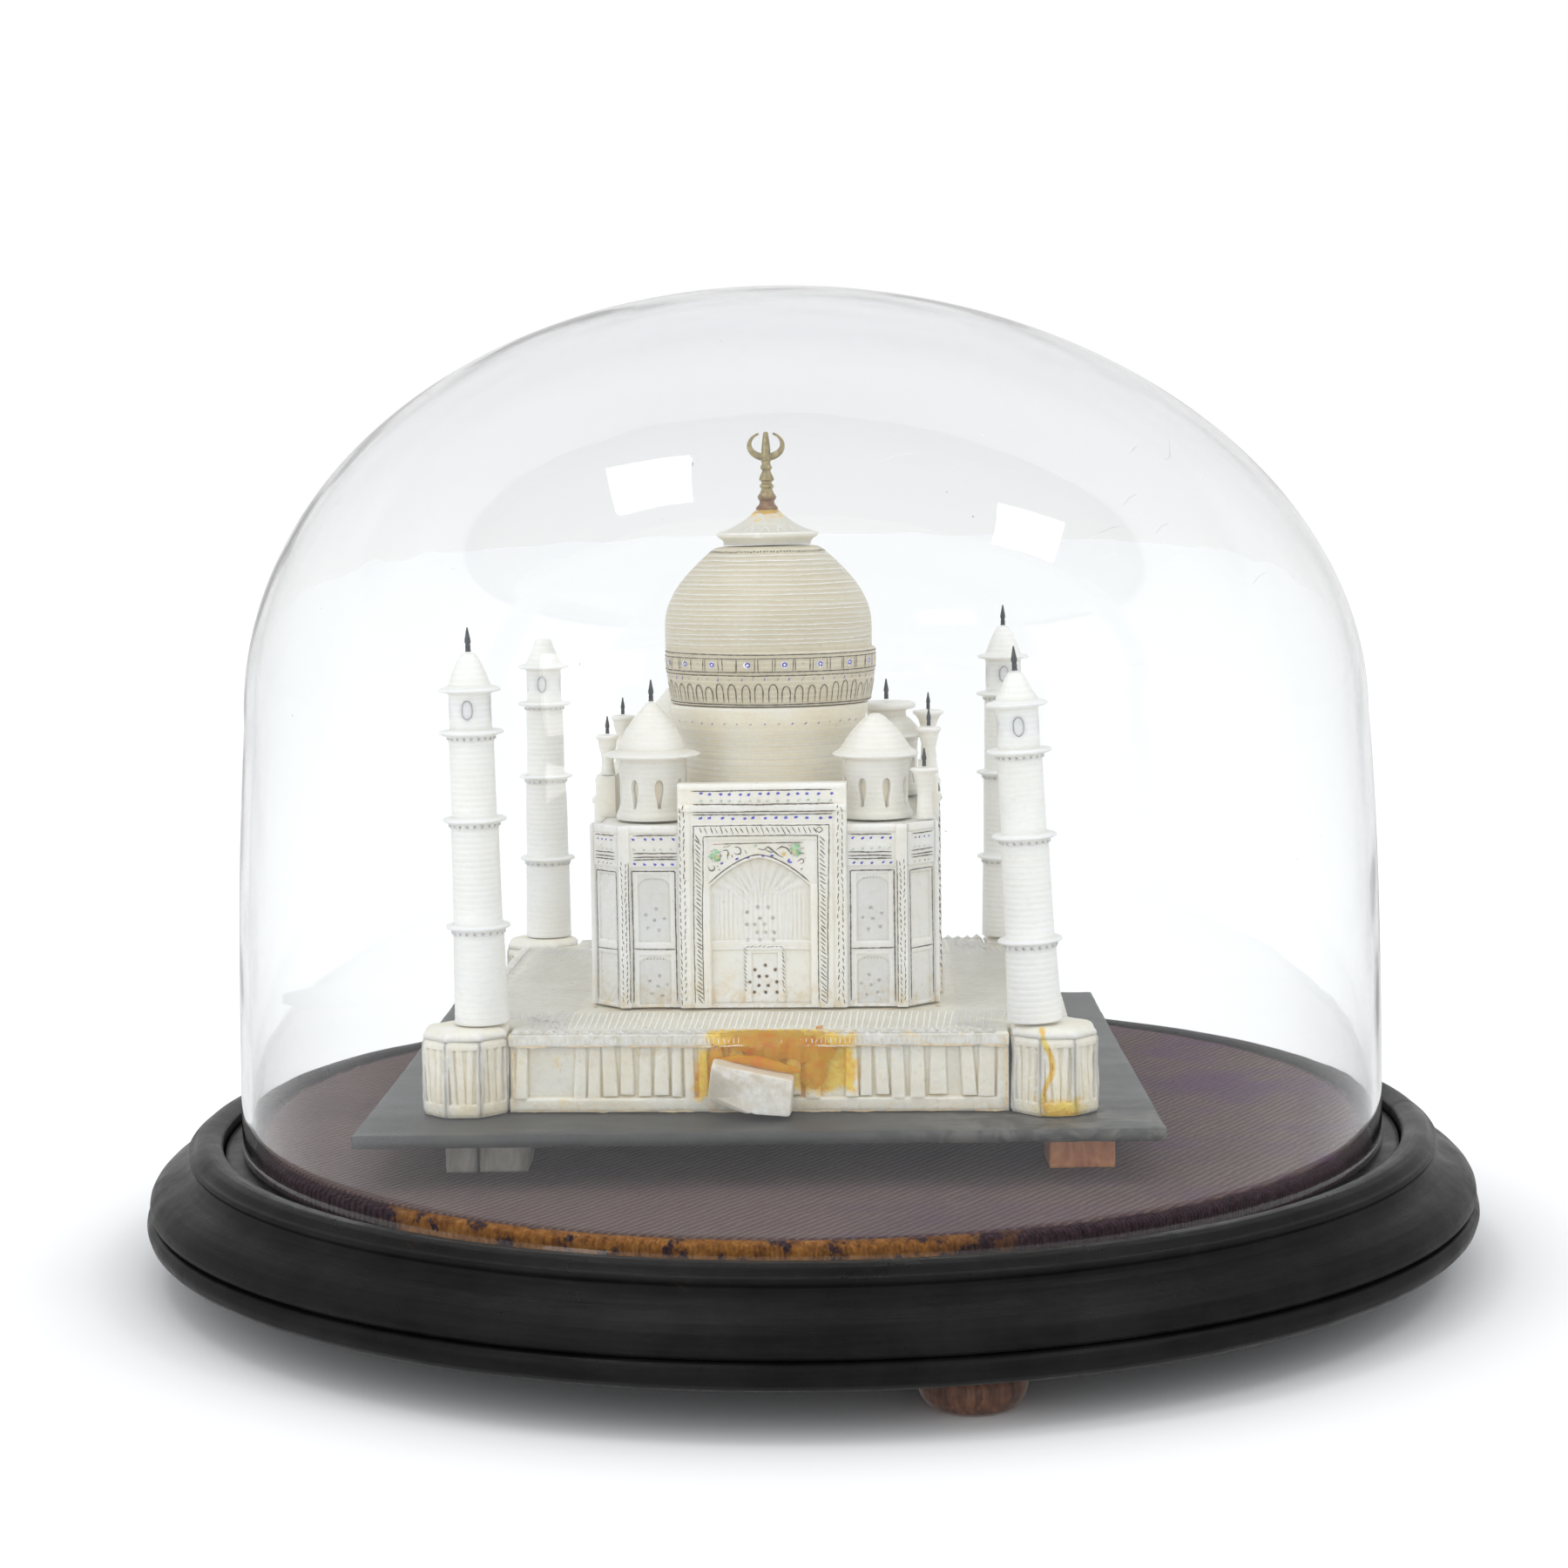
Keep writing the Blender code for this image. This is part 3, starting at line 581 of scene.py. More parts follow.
def foot_wood():
    material, tree, shader = new_material("foot_wood")
    grain = noise(tree, 1.3, 6, 0.7, object_place(tree, (1, 1, 0.12)))
    browns = (0.32, (0.035, 0.016, 0.011)), (0.55, (0.15, 0.065, 0.038)), (0.8, (0.26, 0.13, 0.08))
    feed(tree, shader, "Base Color", ramp(tree, grain, *browns))
    feed(tree, shader, "Roughness", ramp(tree, grain, (0.3, 0.42), (0.7, 0.6)))
    bump(tree, shader, grain, 0.2)
    return material


def board_wood():
    material, tree, shader = new_material("pad_board")
    grain = noise(tree, 6, 6, 0.7, object_place(tree, (0.08, 1, 1)))
    colour = ramp(tree, grain, (0.3, (0.20, 0.11, 0.055)), (0.7, (0.40, 0.26, 0.15)))
    feed(tree, shader, "Base Color", colour)
    set_inputs(shader, Roughness=0.7)
    bump(tree, shader, grain, 0.2)
    return material


def velvet():
    """Faded purple velvet with a diagonal rib. Along the front its edge has worn through to the orange ground."""
    material, tree, shader = new_material("velvet")
    weave = object_place(tree, turn=(0, 0, 33))
    rib = waves(tree, 1.9, "X", 2.6, 3.0, weave)
    thread = waves(tree, 0.9, "Y", 1.5, 2.0, weave)
    fades = (0.36, (0.195, 0.120, 0.100)), (0.52, (0.230, 0.155, 0.120)), (0.68, (0.160, 0.095, 0.098))
    colour = ramp(tree, noise(tree, 45, 5, 0.6), *fades)
    valley = ramp(tree, rib, (0.2, 1.0), (0.8, 0.0))
    colour = blend(tree, times(tree, valley, 0.62), colour, (0.085, 0.046, 0.062))
    colour = fleck(tree, colour, (0.36, 0.26, 0.205), 0.5, times(tree, rib, thread), 0.45, 0.85)
    colour = fleck(tree, colour, (0.07, 0.045, 0.07), 0.5, noise(tree, 1.0, 6, 0.8), 0.42, 0.72)
    right_side = times(tree, axis_of(tree, "X"), 9.0, clamp=True)
    bloom = ramp(tree, noise(tree, 30, 4, 0.6), (0.45, 0.0), (0.62, 0.75))
    colour = blend(tree, times(tree, bloom, right_side), colour, (0.13, 0.06, 0.135))

    ragged = plus(tree, from_axis(tree), jitter(tree, 0.0035, 4, 5, 0.8))
    side = climb(tree, ragged, 0.1347, 1600.0)
    piles = (0.35, (0.016, 0.008, 0.012)), (0.62, (0.075, 0.038, 0.048)), (0.8, (0.15, 0.10, 0.10))
    colour = blend(tree, side, colour, ramp(tree, noise(tree, 1.2, 5, 0.8), *piles))
    front = ramp(tree, times(tree, axis_of(tree, "Y"), -1000 / 140.0), (0.70, 0.0), (0.76, 1.0))
    across = maths(tree, "MULTIPLY_ADD", axis_of(tree, "X"), 1000 / 280.0, 0.5)
    stretch = ramp(tree, across, (0.13, 0.0), (0.17, 1.0), (0.58, 1.0), (0.66, 0.0))
    gaps = ramp(tree, noise(tree, 8, 4, 0.7), (0.40, 0.0), (0.46, 1.0))
    rusts = (0.3, (0.12, 0.04, 0.012)), (0.55, (0.42, 0.17, 0.035)), (0.8, (0.60, 0.34, 0.10))
    share = times(tree, times(tree, times(tree, front, stretch), gaps), side)
    colour = blend(tree, share, colour, ramp(tree, noise(tree, 2.5, 5, 0.75), *rusts))
    feed(tree, shader, "Base Color", colour)
    set_inputs(shader, Roughness=0.95, Sheen_Weight=0.10, Sheen_Roughness=0.5, Specular_IOR_Level=0.08)
    shader.inputs["Sheen Tint"].default_value = (0.8, 0.72, 0.78, 1)
    bump(tree, shader, rib, 0.5)
    bump(tree, shader, thread, 0.2)
    bump(tree, shader, noise(tree, 1.2, 6, 0.85), 0.5)
    return material


def slate():
    """Honed slate: bluish grey with faint cleavage streaks and pale dust."""
    material, tree, shader = new_material("slate")
    streak = noise(tree, 10, 6, 0.65, object_place(tree, (0.35, 1.4, 1), (0, 0, 12)))
    colour = ramp(tree, streak, (0.3, (0.058, 0.060, 0.063)), (0.7, (0.108, 0.109, 0.110)))
    dust = ramp(tree, noise(tree, 26, 6, 0.7), (0.48, 0.0), (0.78, 0.45))
    colour = blend(tree, dust, colour, (0.23, 0.225, 0.21))
    right = climb(tree, axis_of(tree, "X"), 0.012, 22.0)
    near = climb(tree, -0.055, axis_of(tree, "Y"), 60.0)
    colour = blend(tree, times(tree, near, 0.62), colour, (0.022, 0.0215, 0.020))
    smear = ramp(tree, noise(tree, 12, 7, 0.75, distortion=1.5), (0.46, 0.0), (0.60, 0.85))
    smear = times(tree, times(tree, right, near), smear)
    colour = blend(tree, times(tree, smear, 0.75), colour, (0.20, 0.19, 0.17))
    colour = fleck(tree, colour, (0.58, 0.56, 0.52), 0.5, noise(tree, 1.0, 5, 0.8), 0.68, 0.74)
    feed(tree, shader, "Base Color", colour)
    feed(tree, shader, "Roughness", ramp(tree, streak, (0.3, 0.42), (0.7, 0.62)))
    bump(tree, shader, streak, 0.12)
    bump(tree, shader, noise(tree, 0.8, 4, 0.7), 0.06)
    return material


def packing_stone(name, dark, light, glow):
    material, tree, shader = new_material(name)
    cloud = noise(tree, 6, 5, 0.7, object_place(tree, (1, 1, 0.4)), 1.0)
    feed(tree, shader, "Base Color", ramp(tree, cloud, (0.35, dark), (0.65, light)))
    set_inputs(shader, Roughness=0.42, Subsurface_Weight=glow, Subsurface_Scale=0.002)
    bump(tree, shader, noise(tree, 0.9, 5, 0.7), 0.12)
    return material


def iron():
    material, tree, shader = new_material("iron_pin")
    patch = noise(tree, 0.7, 5, 0.7)
    colours = (0.35, (0.045, 0.05, 0.06)), (0.62, (0.10, 0.10, 0.105)), (0.8, (0.17, 0.12, 0.09))
    feed(tree, shader, "Base Color", ramp(tree, patch, *colours))
    feed(tree, shader, "Roughness", ramp(tree, patch, (0.3, 0.35), (0.7, 0.6)))
    set_inputs(shader, Metallic=0.75)
    bump(tree, shader, patch, 0.08)
    return material


def brass(foot_height):
    """Dull olive brass, reddish near its foot where the plating has gone."""
    material, tree, shader = new_material("finial_brass")
    patch = noise(tree, 1.2, 5, 0.7)
    golds = (0.3, (0.20, 0.165, 0.075)), (0.6, (0.42, 0.345, 0.17)), (0.8, (0.60, 0.50, 0.28))
    colour = ramp(tree, patch, *golds)
    near_foot = climb(tree, (foot_height + 4.5) * MM, axis_of(tree, "Z"), 450.0)
    share = times(tree, near_foot, ramp(tree, noise(tree, 1.5, 4), (0.35, 0.35), (0.6, 0.9)))
    colour = blend(tree, share, colour, (0.22, 0.085, 0.06))
    feed(tree, shader, "Base Color", colour)
    feed(tree, shader, "Roughness", ramp(tree, patch, (0.3, 0.46), (0.8, 0.3)))
    set_inputs(shader, Metallic=0.85)
    bump(tree, shader, noise(tree, 0.6, 4, 0.7), 0.05)
    return material


def resin(name, thin, thick, bright, clear):
    """Old amber resin glue."""
    material, tree, shader = new_material(name)
    cloud = noise(tree, 3.5, 6, 0.75, distortion=0.8)
    colour = ramp(tree, cloud, (0.36, thick), (0.54, thin), (0.72, bright))
    feed(tree, shader, "Base Color", colour)
    set_inputs(shader, Roughness=0.09, IOR=1.5, Specular_IOR_Level=0.5)
    feed(tree, shader, "Alpha", ramp(tree, cloud, (0.36, clear + 0.3), (0.66, clear)))
    bump(tree, shader, noise(tree, 0.7, 5, 0.8), 0.45)
    return material


def clear_glass():
    """Clear blown glass. Lamps shine through it, as light does through a real dome."""
    material, tree, shader = new_material("clear_glass")
    set_inputs(shader, Roughness=0.0, IOR=1.46, Transmission_Weight=1.0)
    high = climb(tree, axis_of(tree, "Z"), 0.165, 16.0)
    feed(tree, shader, "Base Color", blend(tree, high, (0.985, 0.993, 0.992), (0.945, 0.952, 0.966)))
    haze = ramp(tree, noise(tree, 45, 6, 0.7), (0.35, 0.25), (0.7, 1.0))
    veil = times(tree, haze, maths(tree, "MULTIPLY_ADD", high, 0.022, 0.006))
    feed(tree, shader, "Transmission Weight", minus(tree, 1.0, veil))
    bump(tree, shader, noise(tree, 60, 2, 0.5), 0.35)
    path = add_node(tree, "ShaderNodeLightPath")
    through = add_node(tree, "ShaderNodeBsdfTransparent", Color=(0.975, 0.98, 0.985, 1))
    surface = shader.outputs["BSDF"]
    for kind in ("Is Diffuse Ray", "Is Shadow Ray"):
        mixer = add_node(tree, "ShaderNodeMixShader", Fac=path.outputs[kind])
        tree.links.new(surface, mixer.inputs[1])
        tree.links.new(through.outputs["BSDF"], mixer.inputs[2])
        surface = mixer.outputs["Shader"]
    tree.links.new(surface, tree.nodes["Material Output"].inputs["Surface"])
    return material


def spread(tree, axis, middle, reach):
    """1 at this place along an axis, and 0 this far from it, in millimetres."""
    away = maths(tree, "ABSOLUTE", minus(tree, axis_of(tree, axis), middle * MM))
    return minus(tree, 1.0, maths(tree, "DIVIDE", away, reach * MM))


def glue_mask(*patches):
    """Soft-edged patches, each (x, reach, z, reach, strength), on what lies in front of the model."""

    def mask(tree):
        total = 0.0
        for x, wide, z, tall, strength in patches:
            part = maths(tree, "MINIMUM", spread(tree, "X", x, wide), spread(tree, "Z", z, tall))
            total = maths(tree, "MAXIMUM", total, times(tree, part, strength))
        share = ramp(tree, plus(tree, total, jitter(tree, 0.9, 4.5, 6, 0.7)), (0.08, 0.0), (0.30, 0.92))
        front = ramp(tree, times(tree, axis_of(tree, "Y"), -1000 / 100.0), (0.655, 0.0), (0.675, 1.0))
        return times(tree, share, front)

    return mask


def cap_glue(tree):
    """Amber that crept out in patches from under the finial."""
    near = minus(tree, 1.0, maths(tree, "DIVIDE", from_axis(tree), 0.0062))
    return ramp(tree, plus(tree, near, jitter(tree, 2.2, 2.0, 5, 0.7)), (0.22, 0.0), (0.60, 0.85))


def glue_drip(tree):
    """Amber that ran down the front of the bastion and gathered at its foot."""
    swing = times(tree, maths(tree, "SINE", times(tree, axis_of(tree, "Z"), 420.0)), 0.0011)
    away = maths(tree, "ABSOLUTE", plus(tree, plus(tree, axis_of(tree, "X"), 0.0022), swing))
    run = minus(tree, 0.8, maths(tree, "DIVIDE", away, 0.0016))
    foot = maths(tree, "MINIMUM", spread(tree, "Z", 0.0, 6.0), spread(tree, "X", 0.5, 8.0))
    amount = plus(tree, maths(tree, "MAXIMUM", run, foot), jitter(tree, 1.1, 2.5, 6, 0.7))
    front = ramp(tree, times(tree, axis_of(tree, "Y"), -100.0), (0.5, 0.0), (0.7, 1.0))
    return times(tree, ramp(tree, amount, (0.25, 0.0), (0.55, 0.85)), front)


run_mask = glue_mask(
    (2.0, 15.0, 13.0, 9.5, 1.2), (15.0, 9.0, 11.0, 8.0, 0.9), (-11.0, 4.0, 9.0, 8.0, 0.8), (2.0, 13.0, 18.5, 3.5, 1.1)
)


def stone(name, pale, warm, **settings):
    return alabaster("alabaster_" + name, pale, warm, **settings)


minaret_stone = stone(
    "minaret", (0.88, 0.88, 0.85), (0.85, 0.84, 0.79), rings=(1.35, (0.96, 0.96, 0.95), 0.5), grime=0.12, glow=0.7
)
front_stone = stone("front", (0.90, 0.885, 0.835), (0.86, 0.82, 0.715), grime=0.3, stain=(18.6, 9.0))
turret_stone = stone(
    "turret", (0.83, 0.81, 0.75), (0.78, 0.745, 0.655), rings=(1.3, (0.94, 0.93, 0.90), 0.35), grime=0.14, glow=0.75
)
turret_core = stone("core", (0.93, 0.86, 0.70), (0.90, 0.80, 0.60), grime=0.1, glow=0.3)
dome_stone = stone("dome", (0.655, 0.60, 0.455), (0.59, 0.52, 0.37), rings=(1.16, (0.88, 0.85, 0.75), 0.3), grime=0.16)
drum_stone = stone("drum", (0.86, 0.82, 0.70), (0.82, 0.74, 0.56), rings=(1.5, (0.92, 0.89, 0.80), 0.3), grime=0.14)
cap_stone = stone("cap", (0.74, 0.715, 0.63), (0.68, 0.65, 0.55), grime=0.2, glow=0.7, glue=cap_glue)
floor_stone = stone("floor", (0.715, 0.68, 0.565), (0.62, 0.58, 0.46), grime=0.6, glow=0.4, glue=run_mask)
wall_stone = stone("wall", (0.885, 0.85, 0.74), (0.85, 0.775, 0.61), grime=0.4, stain=(-0.5, 3.0), glue=run_mask)
step_stone = stone("step", (0.74, 0.69, 0.58), (0.66, 0.58, 0.45), grime=0.4)
BASTION_LOOK = {"pale": (0.93, 0.875, 0.735), "warm": (0.89, 0.795, 0.60), "grime": 0.4, "stain": (-0.5, 4.0)}
bastion_stone = stone("bastion", **BASTION_LOOK)
drip_stone = stone("bastion_glued", glue=glue_drip, **BASTION_LOOK)
INKS = [
    plain_ink(name, colour, roughness)
    for name, colour, roughness in (
        ("ink_black", (0.085, 0.072, 0.052), 0.55),
        ("paint_blue", (0.06, 0.06, 0.42), 0.55),
        ("paint_green", (0.22, 0.42, 0.22), 0.55),
        ("paint_ochre", (0.62, 0.38, 0.12), 0.55),
        ("scored_white", (0.90, 0.89, 0.86), 0.7),
        ("paint_pale_green", (0.47, 0.56, 0.44), 0.55),
        # painted shade: the next two inks are dark and grey discs laid in the pierced holes, standing for the shade
        # inside them
        ("painted_hole_shade_dark", (0.14, 0.085, 0.055), 0.9),
        ("painted_hole_shade_pale", (0.50, 0.48, 0.44), 0.9),
        ("paint_grey", (0.30, 0.29, 0.29), 0.55),
        ("scored_floor", (0.80, 0.785, 0.73), 0.8),
        ("paint_red_brown", (0.42, 0.18, 0.10), 0.55),
        ("glue_line", (0.76, 0.55, 0.32), 0.4),
    )
]
BLACK, BLUE, GREEN, OCHRE, WHITE, PALE_GREEN, HOLE_SHADE_DARK, HOLE_SHADE_PALE, GREY, SCORED, RUSSET, GLUE = range(len(INKS))
pin_iron = iron()
amber = resin("amber_resin", (0.93, 0.47, 0.0), (0.82, 0.20, 0.0), (0.97, 0.68, 0.08), 0.40)
pale_resin = resin("pale_resin", (0.90, 0.62, 0.08), (0.86, 0.44, 0.01), (0.94, 0.76, 0.26), 0.3)


def place_piece(piece, body, slot, *nodes):
    """Rides the piece on its body and stands it for its CAD nodes, which it hides. The slot is not used."""
    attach(piece, body)
    if nodes:
        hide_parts(*nodes)


# ---------------------------------------------------------------- base, pad and glass

def make_base():
    """The turned board and moulding, the bun feet under them, and the pad's board."""
    wood = ebonised_wood()
    deck, low = top("base_board"), bottom("base_board")
    rim, foot = top("base_moulding"), bottom("base_moulding")
    groove = 25.0
    board = [(0.001, deck), (140.0, deck), (144.3, deck)]
    board += below(foot - 0.3, (144.3, 0), (161.2, 0), (162.3, 0.25), (163.1, 1.1), (163.3, 2.6))
    board += below(low, (162.7, -1.8), (161.4, -0.5), (159.6, 0), (150.0, 0), (0.001, 0))
    moulding = [(144.8, groove)]
    moulding += below(rim, (144.8, 1.6), (145.3, 0.9), (146.4, 0.35), (148.0, 0), (149.3, 0.1), (150.8, 0.8))
    moulding += below(rim, (151.6, 1.7), (152.1, 2.2), (152.9, 2.5), (153.3, 3.1), (153.1, 3.8), (152.6, 4.3))
    moulding += below(rim, (152.8, 5.2), (153.6, 6.3), (155.2, 7.4), (157.4, 8.5), (159.6, 9.9), (161.3, 11.6))
    moulding += below(rim, (162.2, 13.2), (162.5, 14.8), (162.3, 15.8))
    moulding += below(foot, (161.6, 0), (152.0, 0), (144.8, 0))
    moulding.append((144.8, groove))
    shapes = (("base_board", resample(board, 1.2, 0.35), 3), ("base_moulding", resample(moulding, 0.45, 0.22), 5))
    for node, profile, seed in shapes:
        piece = turned(node + "_turned", wood, profile, int(320 * FINE), 0.05, seed, sharp=40)
        place_piece(piece, "base", "ebonised_wood", node)

    stuff = foot_wood()
    for side in ("front", "right", "left"):
        node = "bun_foot_" + side
        middle = centre(node)
        profile = below(top(node), (0.001, 0), (8.9, 0), (10.4, 1.1), (11.3, 3.0), (11.4, 5.0))
        profile += [(10.7, 2.6), (9.4, 0.9), (7.6, 0.15), (6.9, 0.0), (0.001, 0.0)]
        place = Matrix.Translation((middle.x, middle.y, 0)) @ Matrix.Rotation(middle.x * 9, 4, "Z")
        piece = turned(node + "_turned", stuff, resample(profile, 0.5, 0.3), 64, 0.08, 11, place, sharp=40)
        place_piece(piece, "base", "foot_wood", node)

    pad_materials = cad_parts["pad_board"].data.materials
    pad_materials.clear()
    pad_materials.append(board_wood())


def make_velvet():
    """The cloth over the pad: drawn over a soft edge, slightly rumpled, with creases where it turns down."""
    high = top("velvet_cover")
    low = bottom("velvet_cover")
    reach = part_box("velvet_cover")[1].x / MM
    rings = int(230 * FINE)
    segments = int(560 * FINE)
    flat_reach = reach - 2.2
    turn = np.linspace(0, math.pi / 2, 8)
    radii = [np.linspace(0.4, flat_reach, rings), flat_reach + 2.0 * np.sin(turn), np.full(6, reach - 0.15)]
    heights = [np.full(rings, high - 0.05), high - 1.3 + 1.25 * np.cos(turn), np.linspace(high - 1.6, low + 0.05, 6)]
    radius, theta = np.meshgrid(np.concatenate(radii), round_angles(segments), indexing="ij")
    height = np.repeat(np.concatenate(heights)[:, None], segments, axis=1)
    x = radius * np.cos(theta)
    y = radius * np.sin(theta)
    flat = np.clip((reach - 1.5 - radius) / 10.0, 0, 1)
    height = height + 0.16 * ripple(21, x, y, octaves=4, scale=26.0) * flat - 0.16 * flat
    pucker = ripple(22, np.cos(theta) * 150, np.sin(theta) * 150, octaves=3, scale=6.0)
    pull = 0.22 * smooth_step(radius, reach - 5.0, 4.0) * np.minimum(pucker, 0)
    points = np.stack([x * (1 + pull / reach), y * (1 + pull / reach), height], -1).reshape(-1, 3)
    points = np.concatenate([points, [[0, 0, high - 0.12]]])
    faces = grid_faces(len(radius), segments, wrap=True)
    faces += [[len(points) - 1, column, (column + 1) % segments] for column in range(segments)]
    cloth = Solid()
    cloth.add(points, faces, 0, points[:, :2])
    piece = cloth.build("velvet_cloth", [velvet()], sharp=80)
    thick = piece.modifiers.new("Cloth thickness", "SOLIDIFY")
    thick.thickness = 0.45 * MM
    thick.offset = -1.0
    place_piece(piece, "base", "velvet", "velvet_cover")


def make_glass():
    """The blown dome. Its wall thins towards the crown, and the crown leans a little."""
    foot = bottom("glass_dome")
    crown = top("glass_dome")
    low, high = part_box("glass_dome")
    foot_radius = (high.y - low.y) / 2 / MM
    shoulder = 133.0
    shoulder_radius = foot_radius - 3.6
    foot_wall = 2.3
    crown_wall = 2.0

    def lean(z):
        rise = np.clip((z - 117.0) / (crown - 117.0), 0, 1)
        return -6.0 * rise * rise

    def side(z):
        lift = (z - foot) / (shoulder - foot)
        return foot_radius - 1.0 * lift - 2.6 * lift**3

    def wall(inset, rise_inset, count=40):
        heights = np.linspace(foot, shoulder, count)
        lift = (heights - foot) / (shoulder - foot)
        radii = foot_radius - inset - 1.0 * lift - 2.6 * lift**3
        turn = np.linspace(0, math.pi / 2, count + 20)[1:]
        across = (shoulder_radius - inset) * np.cos(turn)
        return [*zip(radii, heights), *zip(across, shoulder + (crown - rise_inset - shoulder) * np.sin(turn))]

    outer = wall(0.0, 0.0)[::-1]
    inner = wall(foot_wall, crown_wall)
    outer[0] = (0.02, crown)
    inner[-1] = (0.02, crown - crown_wall)
    outer[-1] = (foot_radius, foot + 0.5)
    inner[0] = (foot_radius - foot_wall, foot + 0.5)
    lip = [(foot_radius - 0.25, foot), (foot_radius - 2.05, foot)]
    segments = int(256 * FINE)
    piece = turned("glass_dome_blown", clear_glass(), outer + lip + inner, segments, 0.0, 0, sharp=60, lean=lean)
    place_piece(piece, "glass", "glass", "glass_dome")

    def surface(u, v):
        rise = np.clip((v - shoulder) / (crown - shoulder), 0, 1)
        radius = np.where(v < shoulder, side(v), shoulder_radius * np.sqrt(1 - rise * rise)) + 0.04
        angle = u / 138.0 - math.pi / 2
        return np.stack([radius * np.cos(angle) + lean(v), radius * np.sin(angle), v], 1)

    pen = Ink(surface, 21)
    dice = pen.dice

    def dust():
        return GREY if dice.uniform() < 0.5 else WHITE

    for _ in range(46):
        u = dice.uniform(-430, 430)
        v = dice.uniform(70, 226)
        pen.dot(u, v, dice.uniform(0.08, 0.24), dust(), dice.uniform(1, 2.4), dice.uniform(0, 180))
    for _ in range(22):
        u = dice.uniform(-400, 400) if dice.uniform() < 0.25 else dice.uniform(66, 120)
        v = dice.uniform(158, 200)
        long = dice.uniform(3, 14)
        tilt = math.radians(28 + dice.normal(0, 8))
        end = (u + long * math.cos(tilt), v + 0.5 * long * math.sin(tilt))
        bend = (0.5 * (u + end[0]), 0.5 * (v + end[1]) + dice.normal(0, 0.3))
        pen.stroke([(u, v), bend, end], 0.05, dust(), 0.1)
    place_piece(pen.solid.build("glass_dome_marks", INKS), "glass", "glass")


# ---------------------------------------------------------------- slab and packing

def rough_block(solid, spans, step, seed, chip, slant=0.0):
    """A sawn block with worn edges. slant moves the top right edge inwards."""
    low, high = np.array(spans, float).T
    counts = [max(3, int((end - start) / step) + 1) for start, end in spans]
    half = (high - low) / 2
    for axis in range(3):
        first, second = [a for a in range(3) if a != axis]
        u, v = np.meshgrid(np.linspace(*spans[first], counts[first]), np.linspace(*spans[second], counts[second]))
        for side in (0, 1):
            points = np.zeros((u.size, 3))
            points[:, first] = u.ravel()
            points[:, second] = v.ravel()
            points[:, axis] = spans[axis][side]
            offset = points - (low + high) / 2
            to_edge = np.sort(half - np.abs(offset), axis=1)
            near = np.exp(-(to_edge[:, 1] / 0.9) ** 2)
            worn = chip * near * (0.45 + 0.55 * np.abs(ripple(seed, *points.T, scale=3.0)))
            shrink = np.sign(offset) * np.minimum(worn[:, None], half * 0.3) * (half - np.abs(offset) < 0.9)
            points = points - shrink
            if slant:
                share, _, rise = ((points - low) / (high - low)).T
                points[:, 0] -= slant * share * (1 - rise)
            solid.add(points, grid_faces(counts[second], counts[first], flip=(side == 1) == (axis == 1)))


def weld(piece):
    """Joins the faces of a piece whose sheets meet edge to edge."""
    joined = piece.modifiers.new("Weld", "WELD")
    joined.merge_threshold = 0.002 * MM


def make_slab():
    slab_place = Matrix.Translation(centre("slate_slab")) @ Matrix.Rotation(math.radians(SLAB_TURN), 4, "Z")
    thick = top("slate_slab") - bottom("slate_slab")
    half = 89.25
    slab = Solid()
    rough_block(slab, ((-half, half), (-half, half), (-thick / 2, thick / 2)), 1.0, 31, 0.3)
    piece = slab.build("slate_slab_honed", [slate()], slab_place, sharp=50)
    weld(piece)
    place_piece(piece, "model", "slate", "slate_slab")

    grey = packing_stone("grey_stone", (0.26, 0.235, 0.20), (0.52, 0.485, 0.43), 0.3)
    red = packing_stone("red_stone", (0.46, 0.11, 0.03), (0.86, 0.38, 0.16), 0.15)
    scraps = {
        "packing_front_left": (grey, "grey_stone", 0.0),
        "packing_front_left_end": (grey, "grey_stone", 1.2),
        "packing_front_right": (red, "red_stone", 0.0),
        "packing_rear_left": (grey, "grey_stone", 0.0),
        "packing_rear_right": (grey, "grey_stone", 0.6),
    }
    for index, (node, (stone, slot, slant)) in enumerate(scraps.items()):
        low, high = (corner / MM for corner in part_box(node))
        block = Solid()
        rough_block(block, tuple(zip(low, high)), 0.6, 40 + index, 0.35, slant)
        piece = block.build(node + "_sawn", [stone], sharp=50)
        weld(piece)
        place_piece(piece, "base", slot, node)


# ---------------------------------------------------------------- terrace

BASTIONS = ("front_left", "front_right", "rear_right", "rear_left")
SIDES = {"front": 0, "right": 90, "back": 180, "left": 270}
WALL_FACE = 70.4


